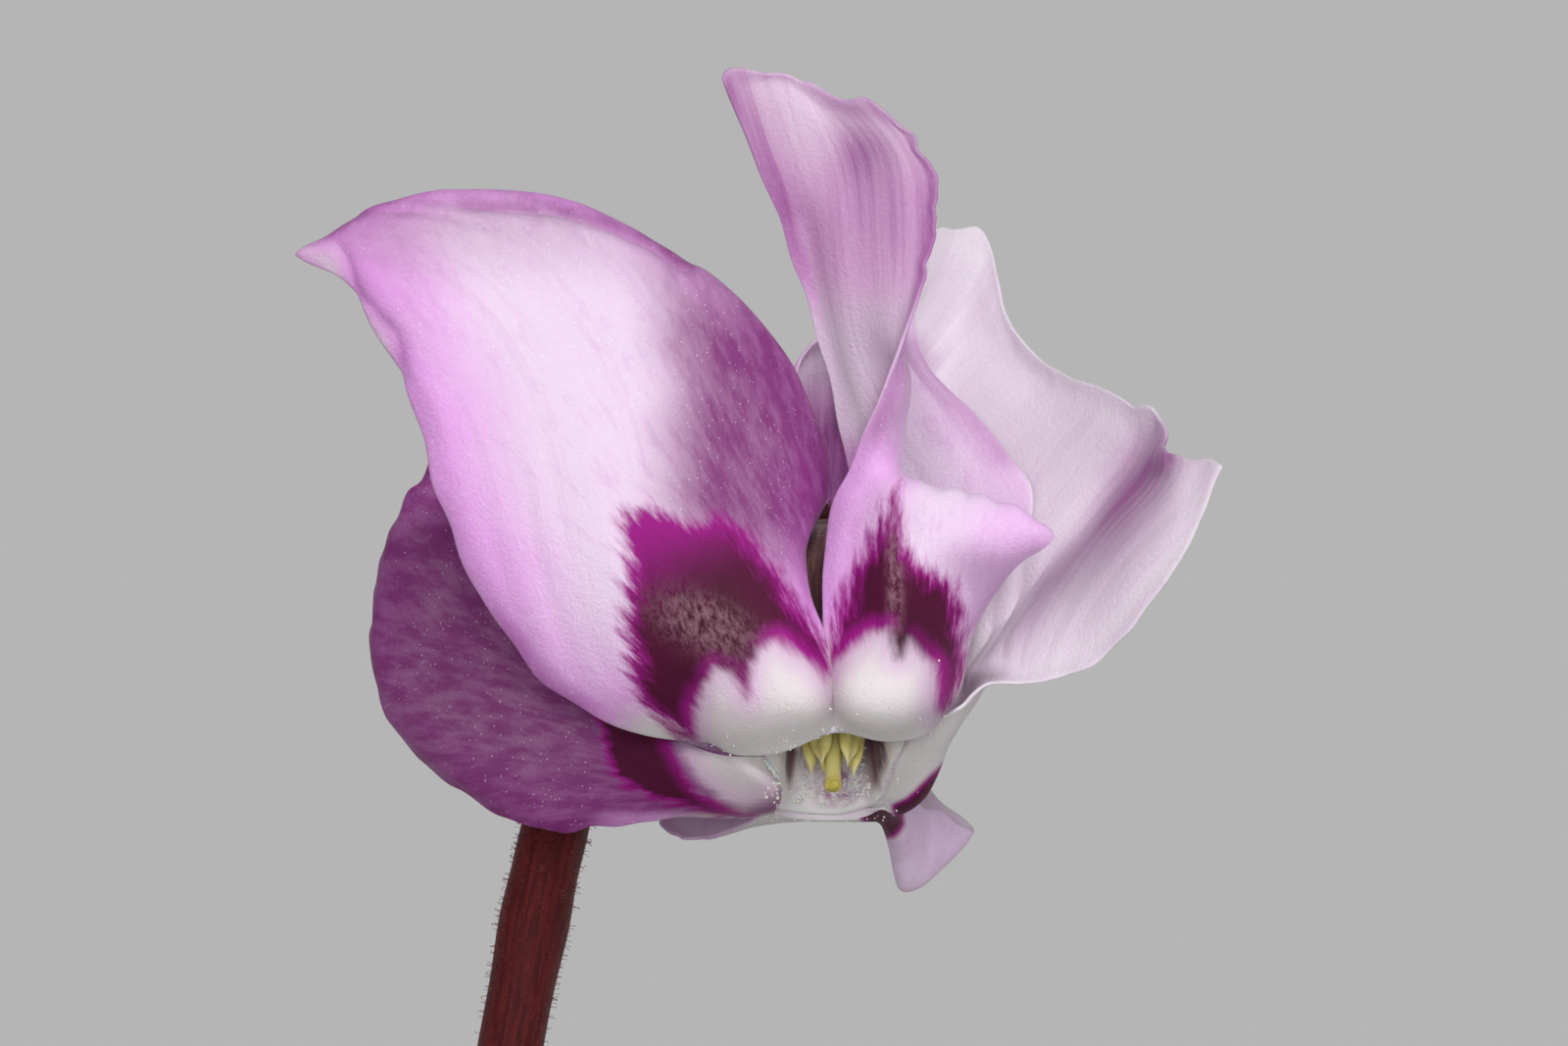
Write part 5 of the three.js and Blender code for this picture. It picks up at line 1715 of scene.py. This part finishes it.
# %% Leaf upper side
def leaf_face():
    """Dark green with a broken pewter band and paler veins."""
    made = Finish("leaf_face", Roughness=0.42, Specular_IOR_Level=0.45, Coat_Weight=0.06,
                  Coat_Roughness=0.3)
    share, vein, edge, silver = (made.trait(name) for name in ("share", "vein", "edge", "silver"))
    where = made.place()
    soft, spot = made.cloud(where, 0.16, 3), made.cloud(where, 0.75, 4, 0.65)
    fine = made.cloud(where, 3.2, 4, 0.7)
    reach = share + (soft - 0.5) * 0.32 + (spot - 0.5) * 0.22
    band = reach.step(0.34, 0.46) * reach.step(0.84, 0.7)
    marble = band * (spot + vein * 0.22 + (fine - 0.5) * 0.5).step(0.45, 0.66) * silver
    green = soft.step(0.35, 0.65).mix(paint(40, 70, 42), paint(58, 92, 52))
    green = (fine.step(0.5, 0.8) * 0.35).mix(green, paint(78, 110, 66))
    pewter = fine.step(0.35, 0.65).mix(paint(138, 160, 138), paint(176, 190, 168))
    colour = (marble * 0.86).mix(green, pewter)
    colour = ((1 - vein.step(0.05, 0.42)) * 0.6).mix(colour, paint(96, 124, 78))
    colour = ((1 - edge.step(0.1, 0.6)) * 0.5).mix(colour, paint(86, 64, 54))
    made.wear("Base Color", colour)
    made.wear("Roughness", 0.36 + fine * 0.22)
    made.relief(1 - made.cells(where, 3.4) * 0.8 + fine * 0.4, 0.05)
    return made


leaf_face_coat = leaf_face()
print("the leaf's upper side uses", len(leaf_face_coat.tree.nodes), "nodes")

# %% Leaf underside and stem
def leaf_under():
    """Wine purple, greener along the veins."""
    made = Finish("leaf_under", Roughness=0.55, Specular_IOR_Level=0.35)
    share, vein = made.trait("share"), made.trait("vein")
    where = made.place()
    soft, fine = made.cloud(where, 0.2, 3), made.cloud(where, 2.6, 4, 0.7)
    colour = (share + (soft - 0.5) * 0.6).step(0.15, 0.8).mix(paint(112, 74, 74), paint(112, 38, 66))
    colour = (fine.step(0.45, 0.75) * 0.4).mix(colour, paint(146, 84, 100))
    colour = ((1 - vein.step(0.1, 0.6)) * 0.65).mix(colour, paint(138, 116, 86))
    made.wear("Base Color", colour)
    made.relief(fine - vein.step(0.0, 0.9) * 0.8, 0.12)
    return made


def petiole_finish():
    """Fleshy pinkish brown stem with green showing through toward the blade."""
    made = Finish("petiole", Roughness=0.4, Subsurface_Weight=0.1, Subsurface_Scale=0.0006)
    share = made.trait("share")
    line = made.cloud(made.vector(made.trait("turn") * 0.02, made.trait("up") * 0.1, 5.0), 5, 4, 0.65)
    fine = made.cloud(made.place(), 3, 3)
    colour = (share + (line - 0.5) * 0.5).step(0.3, 1.0).mix(paint(122, 62, 54), paint(128, 108, 72))
    colour = (fine.step(0.5, 0.75) * 0.4).mix(colour, paint(160, 112, 92))
    made.wear("Base Color", colour)
    made.relief(line + fine, 0.05)
    return made


LEAF_COATS = [leaf_face_coat, leaf_under(), petiole_finish()]
print("leaf finishes", [finish.material.name for finish in LEAF_COATS])

# %% Leaf blade
BLADE_THICKNESS = 0.55
LEAF_RINGS, LEAF_SPOKES = 34, 220
VEIN_SINK = 0.42


def blade(width, seed):
    """The blade in its own frame: joint at the origin, tip along +y, upper side +z."""
    limit = math.radians(180 - SINUS_ANGLE)
    angle = np.linspace(-limit, limit, LEAF_SPOKES)[None]
    share = np.linspace(0.012, 1, LEAF_RINGS)[:, None] ** 0.9
    frill = 1 + share ** 6 * 0.018 * drift(angle * width / 6, 0 * angle, 90 + seed, reach=0.35)
    radius = share * leaf_margin(angle, width) * frill
    sag = share ** 2 * (-0.06 * width + 0.8 * np.cos(3 * angle + seed))
    vein = vein_distance(share + 0 * angle, angle + 0 * share, radius, seed)
    inner = rise(share, 0.05, 0.3) * (1 - 0.75 * rise(share, 0.86, 1.0))
    pillow = VEIN_SINK * (1 - np.exp(-(vein / 1.2) ** 2)) * inner
    x, y = radius * np.sin(angle), radius * np.cos(angle)
    wave = 0.35 * share ** 2 * drift(x, y, 120 + seed, reach=0.07)
    edge_wave = 0.5 * share ** 5 * drift(angle * width / 2, 0 * angle, 150 + seed, reach=0.12)
    grid = np.stack([x, y, sag + pillow + wave + edge_wave], -1)
    _, _, edge = spans(grid)
    edge = np.minimum(edge, (1 - share) * leaf_margin(angle, width))
    return grid, dict(edge=edge, share=share + 0 * angle, vein=vein)


print("a blade has", LEAF_RINGS * LEAF_SPOKES, "points on each side")

# %% Leaf stem
PETIOLE_RADIUS = 0.95
PETIOLE_SIDES = 18
STEM_SLOT = 2
# How far out and how far up the stem's first stations are, as shares of the whole way.
PETIOLE_ROUTE = [(0.0, 0.0), (0.14, 0.3), (0.5, 0.76)]


def petiole(form, tier, angle, height):
    """The stem from the crown to the blade's joint. Returns the place where it starts."""
    root = tier["root"]
    root_height = crown_height(root) + STEM_LIFT - 0.5
    rise_by, run = height - root_height, tier["reach"] - root
    stations = [polar(root + out * run, angle, root_height + up * rise_by) for out, up in PETIOLE_ROUTE]
    route = curve_through(stations + [polar(tier["reach"], angle, height - 0.75)], 90)
    share = np.linspace(0, 1, len(route))
    size = PETIOLE_RADIUS * (1.12 - 0.3 * share + 0.25 * rise(share, 0.95, 1.0))
    rings = tube_rings(route, size, PETIOLE_SIDES)
    points = np.concatenate([rings.reshape(-1, 3), [route[0], route[-1]]])
    around = np.tile(np.arange(PETIOLE_SIDES) * 360 / PETIOLE_SIDES, len(route))
    form.add(points, capped_faces(len(route), PETIOLE_SIDES), STEM_SLOT, turn=np.append(around, [0, 0]),
             share=ended(share, PETIOLE_SIDES, 0, 1), up=ended(share * rise_by, PETIOLE_SIDES, 0, rise_by))
    return stations[0]


print("a leaf's stem is", 2 * PETIOLE_RADIUS, "mm thick in the middle")

# %% A whole leaf
def leaf(name, tier, plain_angle, number):
    """One leaf in its place: blade and stem in one piece. Returns where its stem starts."""
    on_axis = tier is LEAF_TIERS[0] and number % 2 == 1
    loose = 0 if on_axis else tier["vary"]
    angle = plain_angle + 4 * loose * sway(number, 4)
    width = tier["width"] + 1.2 * loose * sway(number, 1) - 1.2 * loose
    height = tier["height"] + 1.5 * loose * sway(number, 2)
    tilt = tier["tilt"] + 4 * loose * sway(number, 3)
    roll = 6 * loose * sway(number, 5)
    grid, traits = blade(width, number)
    grid = turn_about(turn_about(grid + [0, -1.2, 0], "y", roll), "x", -tilt)
    grid = turn_about(grid, "z", angle - 90) + polar(tier["reach"], angle, height)
    traits["silver"] = 0.75 + 0.25 * sway(number, 6)
    form = Form()
    add_sheet(form, grid, BLADE_THICKNESS, traits)
    start = petiole(form, tier, angle, height)
    made = form.build(name, LEAF_COATS)
    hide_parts(name)
    return start


# Stems start at root and end at reach, both measured from the pot's axis.
LEAF_TIERS = [
    dict(count=8, first=0, root=12, reach=44, height=92, width=35, tilt=30, vary=1),
    dict(count=6, first=22.5, root=8.6, reach=32, height=106, width=34, tilt=22, vary=1.5),
    dict(count=4, first=0, root=5.6, reach=20.5, height=117, width=31, tilt=14, vary=1.7),
]
print(sum(tier["count"] for tier in LEAF_TIERS), "leaves to build")

# %% Build the leaves
stem_roots = [polar(*row["root"], 0) for row in STALKS] + [polar(*FRONT_ROOT, 0)]
number = 0
for tier in LEAF_TIERS:
    for k in range(tier["count"]):
        number += 1
        plain_angle = tier["first"] + 360 / tier["count"] * k
        stem_roots.append(leaf(f"leaf_{number:02d}", tier, plain_angle, number))
print(number, "leaves made")

# %% [markdown]
# ## Tuber
# The crown of the tuber stands out of the soil. It is brown cork, cracked into plates, with
# a scar or a collar round every stem that grows from it.

# %% Tuber finish
def tuber_finish():
    """Cracked brown cork, paler on the plates."""
    made = Finish("tuber", Roughness=0.85)
    where = made.place()
    warp = where + made.node("ShaderNodeTexNoise", {}, {"Vector": where, "Scale": 0.5}, "Color") * 2.2
    crack = made.cells(warp, 0.42, "DISTANCE_TO_EDGE")
    fine, soft = made.cloud(where, 2.2, 5, 0.7), made.cloud(where, 0.22, 3)
    plate = soft.step(0.35, 0.65).mix(paint(98, 66, 48), paint(132, 96, 70))
    plate = (fine.step(0.4, 0.7) * 0.6).mix(plate, paint(74, 50, 38))
    colour = (1 - crack.step(0.01, 0.09)).mix(plate, paint(38, 26, 22))
    made.wear("Base Color", colour)
    made.relief(crack.step(0.0, 0.16) + fine * 0.5, 0.5)
    return made


tuber_coat = tuber_finish()
print("the tuber uses", len(tuber_coat.tree.nodes), "nodes")

# %% Tuber
TUBER_ROWS, TUBER_SEGMENTS = 150, 260
COLLAR_HEIGHT, COLLAR_RADIUS = 0.95, 1.5

tilt = np.radians(np.linspace(180, 0, TUBER_ROWS))
profile = np.stack([TUBER_RADIUS * np.sin(tilt), TUBER_HALF_HEIGHT * np.cos(tilt)], -1)
body = turned(profile, TUBER_SEGMENTS)
face = unit(body / np.array([TUBER_RADIUS ** 2, TUBER_RADIUS ** 2, TUBER_HALF_HEIGHT ** 2]))
x, y, z = np.moveaxis(body, -1, 0)
lumps = 0.28 * drift(x, y, 200, reach=0.16) + 0.14 * drift(x, y, 201, reach=0.5)
collars = np.zeros(lumps.shape)
for root in stem_roots:
    away = np.hypot(x - root[0], y - root[1])
    collars = np.maximum(collars, COLLAR_HEIGHT * np.exp(-(away / COLLAR_RADIUS) ** 4))
uneven = rise(z, 1.0, 4.0) * (lumps + collars)
body = body + face * uneven[..., None] + [0, 0, TUBER_CENTRE]
form = Form()
form.add(body, grid_faces(*body.shape[:2], closed=True))
tuber = form.build("tuber_crown", [tuber_coat])
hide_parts("tuber")
print(len(stem_roots), "stems leave the crown")

# %% [markdown]
# ## Soil
# Potting soil is a bumpy crust of crumbs. The surface is a turned form with noise for its
# lumps, and loose crumbs, bark, grit and white perlite lie on it as real pieces, because
# their small shadows are what makes soil read as soil.

# %% Soil finishes
def soil_finish(name, dark, light, fleck):
    """Rough crumbly matter of one kind."""
    made = Finish(name, Roughness=0.95, Specular_IOR_Level=0.2)
    where = made.place()
    fine, soft = made.cloud(where, 1.8, 5, 0.75), made.cloud(where, 0.35, 3)
    colour = soft.step(0.35, 0.65).mix(dark, light)
    colour = (fine.step(0.55, 0.75) * 0.6).mix(colour, fleck)
    made.wear("Base Color", colour)
    made.relief(fine, 0.35)
    return made


SOIL_KINDS = [
    soil_finish("peat", paint(48, 34, 28), paint(72, 52, 40), paint(104, 80, 60)),
    soil_finish("bark", paint(84, 56, 38), paint(112, 78, 52), paint(58, 40, 30)),
    soil_finish("grit", paint(140, 130, 118), paint(172, 160, 144), paint(104, 98, 92)),
    soil_finish("perlite", paint(226, 222, 212), paint(240, 238, 232), paint(196, 190, 178)),
]
print("soil finishes", [finish.material.name for finish in SOIL_KINDS])

# %% Inside of the pot
POT_HEIGHT, POT_RIM_RADIUS, POT_BASE_RADIUS = 80, 45, 31
POT_WALL, POT_FLOOR, SOIL_LEVEL, DRAIN_RADIUS = 4.5, 6, 69, 6
inner_top, inner_base = POT_RIM_RADIUS - POT_WALL, POT_BASE_RADIUS - POT_WALL


def pot_inside(height):
    """Radius of the pot's inner wall at a height."""
    return inner_base + (inner_top - inner_base) * (height - POT_FLOOR) / (POT_HEIGHT - POT_FLOOR)


print("the soil is", round(2 * pot_inside(SOIL_LEVEL)), "mm wide at its top")

# %% Soil surface
def soil_height(radius):
    """Top of the soil: low at the wall, a little higher round the tuber."""
    return SOIL_LEVEL - 1 + 1.0 * rise(radius, 40, 37) + 0.8 * rise(radius, 38, 25)


def soil_lumps(x, y):
    """Lumps of three sizes."""
    broad = 0.42 * drift(x, y, 300, reach=0.09) + 0.24 * drift(x, y, 301, 9, reach=0.35)
    return broad + 0.1 * drift(x, y, 302, 9, 1.1)


SOIL_GAP = 0.3
TOP_ROWS, SOIL_SEGMENTS = 76, 340
outer = pot_inside(SOIL_LEVEL) - SOIL_GAP
top_radius = np.linspace(TUBER_RADIUS - 2.0, outer, TOP_ROWS)[::-1]
side = [
    [0.0, POT_FLOOR + SOIL_GAP], [inner_base - 2.3, POT_FLOOR + SOIL_GAP], [pot_inside(9) - 0.5, 9.0],
    [pot_inside(40) - 0.4, 40.0], [pot_inside(64) - SOIL_GAP, 64.0],
]
under = [[TUBER_RADIUS - 2.5, 66.0], [TUBER_RADIUS - 6, 60.0], [0.0, 56.0]]
ground = turned(side + [[r, soil_height(r)] for r in top_radius] + under, SOIL_SEGMENTS)
row = np.arange(len(ground))
on_top = (row >= len(side)) & (row < len(side) + TOP_ROWS)
ground[..., 2] += soil_lumps(ground[..., 0], ground[..., 1]) * on_top[:, None]
soil_form = Form()
soil_form.add(ground, grid_faces(*ground.shape[:2], closed=True))
print("soil crust", TOP_ROWS, "by", SOIL_SEGMENTS, "points")

# %% Crumbs
CRUMBS = 2600
CRUMB_SIDES = 7
CRUMB_SHARES = [0.62, 0.2, 0.13, 0.05]
BARK = 1
BARK_FLATNESS, CRUMB_FLATNESS = 0.45, 0.8
dice = np.random.default_rng(31)


def crumb(form, centre, size, slot, flat):
    """An uneven lump."""
    points = ball(CRUMB_SIDES)
    points = points * dice.uniform(0.72, 1.2, (len(points), 1))
    points = points * size * np.array([1, dice.uniform(0.6, 1), flat])
    points = turn_about(turn_about(points, "x", dice.uniform(-30, 30)), "z", dice.uniform(0, 360))
    form.add(points + centre, capped_faces(BALL_RINGS, CRUMB_SIDES), slot)


for _ in range(CRUMBS):
    size = min(dice.gamma(2.2, 0.2) + 0.16, 1.5)
    nearest, farthest = TUBER_RADIUS + 0.2 + size, outer - size - 0.2
    radius = math.sqrt(dice.uniform(nearest ** 2, farthest ** 2))
    turn = dice.uniform(0, math.tau)
    x, y = radius * math.cos(turn), radius * math.sin(turn)
    kind = int(dice.choice(len(SOIL_KINDS), p=CRUMB_SHARES))
    flat = BARK_FLATNESS if kind == BARK else CRUMB_FLATNESS
    height = soil_height(radius) + soil_lumps(x, y) + size * 0.25 * flat
    crumb(soil_form, [x, y, height], size, kind, flat)
soil = soil_form.build("soil_surface", SOIL_KINDS)
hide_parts("soil")
print(CRUMBS, "crumbs")

# %% [markdown]
# ## Clay pot
# A plain thrown pot with a rim band. Its surface is turned from the same profile as the
# CAD's, with fine throwing rings and a slight wobble. Fired clay is matt and mottled, pale
# lime creeps out of it where water dries, and the inside is darker near the damp soil.

# %% Pot profile
RIM_BAND_HEIGHT, RIM_BAND_STEP, RIM_ROUND = 21, 2.6, 1.2
band_bottom = POT_HEIGHT - RIM_BAND_HEIGHT
wall_top = POT_RIM_RADIUS - RIM_BAND_STEP - 1.5
foot = 0.03 * (wall_top - POT_BASE_RADIUS)
POT_PROFILE = [
    [DRAIN_RADIUS, 0], [POT_BASE_RADIUS - 1.5, 0], [POT_BASE_RADIUS - 0.2, 0.35],
    [POT_BASE_RADIUS + foot, 0.03 * band_bottom], [wall_top, band_bottom],
    [wall_top + RIM_BAND_STEP - 0.5, band_bottom + 0.2], [wall_top + RIM_BAND_STEP, band_bottom + 1.2],
    [POT_RIM_RADIUS, POT_HEIGHT - RIM_ROUND], [POT_RIM_RADIUS - 0.35, POT_HEIGHT - 0.35],
    [POT_RIM_RADIUS - RIM_ROUND, POT_HEIGHT], [inner_top + RIM_ROUND, POT_HEIGHT],
    [inner_top + 0.35, POT_HEIGHT - 0.35], [inner_top, POT_HEIGHT - RIM_ROUND],
    [inner_base, POT_FLOOR + 2], [inner_base - 2, POT_FLOOR], [DRAIN_RADIUS, POT_FLOOR],
    [DRAIN_RADIUS, 0],
]


def dense(profile, step):
    """The same outline with points no further apart than step."""
    points = []
    for (r1, z1), (r2, z2) in zip(profile, profile[1:]):
        count = max(int(math.hypot(r2 - r1, z2 - z1) / step), 1)
        points += [[r1 + (r2 - r1) * k / count, z1 + (z2 - z1) * k / count] for k in range(count)]
    return points


print("the pot's outline has", len(POT_PROFILE), "corners")

# %% Clay finish
def clay_finish():
    """Terracotta with lime bloom, fine pits and a damp inside."""
    made = Finish("fired_clay", Roughness=0.9, Specular_IOR_Level=0.25)
    where, inside, up = made.place(), made.trait("inside"), made.trait("up")
    soft, fine = made.cloud(where, 0.05, 4, 0.6), made.cloud(where, 0.9, 5, 0.7)
    ring = made.cloud(made.vector(made.trait("turn") * 0.01, 0.0, up), 1.3, 3)
    colour = soft.step(0.3, 0.7).mix(paint(172, 94, 62), paint(194, 116, 80))
    colour = (ring.step(0.4, 0.7) * 0.35).mix(colour, paint(158, 84, 56))
    colour = (fine.step(0.52, 0.72) * 0.4).mix(colour, paint(206, 138, 102))
    bloom = (soft + fine * 0.5 + (up - 55) * 0.002).step(0.78, 0.98)
    colour = (bloom * 0.55).mix(colour, paint(218, 190, 166))
    damp = inside * (up + soft * 4).step(77, 70)
    colour = (damp * 0.7).mix(colour, paint(98, 58, 44))
    made.wear("Base Color", colour)
    made.relief(fine + made.cells(where, 0.8).step(0.0, 0.22) * 0.8 + ring * 0.3, 0.22)
    return made


clay_coat = clay_finish()
print("the clay uses", len(clay_coat.tree.nodes), "nodes")

# %% Clay pot
POT_SEGMENTS = 240
THROWING_RING, WOBBLE = 0.07, 0.12

profile = np.array(dense(POT_PROFILE, 0.7))
pot_body = turned(profile, POT_SEGMENTS)
turn = np.degrees(np.arctan2(pot_body[..., 1], pot_body[..., 0]))
outside = (np.arange(len(profile)) < np.argmax(profile[:, 1]))[:, None]
height = pot_body[..., 2]
mid_wall = rise(height, 3, 8) * rise(height, 79, 76)
throwing = THROWING_RING * np.sin(height * 1.9 + 0.4 * np.sin(height * 0.31))
throwing = throwing + 0.05 * drift(height, 0 * height, 401, 9, 0.4)
wobble = WOBBLE * drift(turn / 60, height / 60, 402, reach=1.0)
push = np.where(outside, throwing + wobble, 0.5 * throwing) * mid_wall
pot_body = pot_body + unit(pot_body * [1, 1, 0]) * push[..., None]
inside = np.where(outside, 0.0, 1.0) + 0 * turn
form = Form()
form.add(pot_body, grid_faces(*pot_body.shape[:2], closed=True), inside=inside, up=height, turn=turn)
pot = form.build("clay_pot", [clay_coat])
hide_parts("pot")
print("pot", len(profile), "by", POT_SEGMENTS, "points")

# %% [markdown]
# ## Floor, world and light
# The camera looks level, so the floor's far edge crosses the picture. The floor reaches the
# horizon, and the world has the brightness there that the lit floor has, so no line shows.
# The world is dimmer overhead, which leaves the modelling to two soft suns: the key from
# above and in front, and a low broad one from the camera's side that fills the shadows.

# %% Floor
FLOOR_HALF = 300.0
FLOOR_SHADE = 0.752
FLOOR_GRAIN = 0.985

floor_form = Form()
corner = FLOOR_HALF / MM
floor_form.add([[-corner, -corner, 0], [corner, -corner, 0], [corner, corner, 0], [-corner, corner, 0]],
               [(0, 1, 2, 3)])
floor_finish = Finish("plain_floor", Roughness=0.9, Specular_IOR_Level=0.1)
grain = floor_finish.cloud(floor_finish.place(), 0.02, 2)
dark, light = ((shade,) * 3 + (1,) for shade in (FLOOR_SHADE * FLOOR_GRAIN, FLOOR_SHADE))
floor_finish.wear("Base Color", grain.mix(dark, light))
floor = floor_form.build("floor", [floor_finish])
floor.parent = None
print("floor", 2 * FLOOR_HALF, "m wide")

# %% World
HORIZON, ZENITH = 0.46, 0.10
FADE_START, FADE_END = 0.03, 0.9

world = bpy.data.worlds.new("studio")
bpy.context.scene.world = world
world.use_nodes = True
sky = world.node_tree
ray = sky.nodes.new("ShaderNodeTexCoord")
split = sky.nodes.new("ShaderNodeSeparateXYZ")
fade = sky.nodes.new("ShaderNodeMapRange")
fade.interpolation_type = "SMOOTHSTEP"
fade.inputs["From Min"].default_value = FADE_START
fade.inputs["From Max"].default_value = FADE_END
fade.inputs["To Min"].default_value = HORIZON
fade.inputs["To Max"].default_value = ZENITH
sky.links.new(ray.outputs["Generated"], split.inputs[0])
sky.links.new(split.outputs["Z"], fade.inputs["Value"])
sky.links.new(fade.outputs[0], sky.nodes["Background"].inputs["Strength"])
sky.nodes["Background"].inputs["Color"].default_value = (1, 1, 1, 1)
print("world brightness", HORIZON, "at the horizon,", ZENITH, "overhead")

# %% Suns
def soft_sun(name, strength, spread, toward):
    """A distant soft light that shines along a direction."""
    lamp = bpy.data.lights.new(name, "SUN")
    lamp.energy = strength
    lamp.angle = math.radians(spread)
    made = bpy.data.objects.new(name, lamp)
    made.rotation_euler = Vector(toward).to_track_quat("-Z", "Y").to_euler()
    bpy.context.scene.collection.objects.link(made)


soft_sun("key", 1.6, 9, (-0.24, 0.6, -0.76))
soft_sun("fill", 1.6, 25, (0.05, 0.99, -0.07))
bpy.context.scene.view_settings.view_transform = "Standard"
print("light ready")

# %% [markdown]
# ## Size
# The visual model keeps to the CAD model's box within half a millimetre.
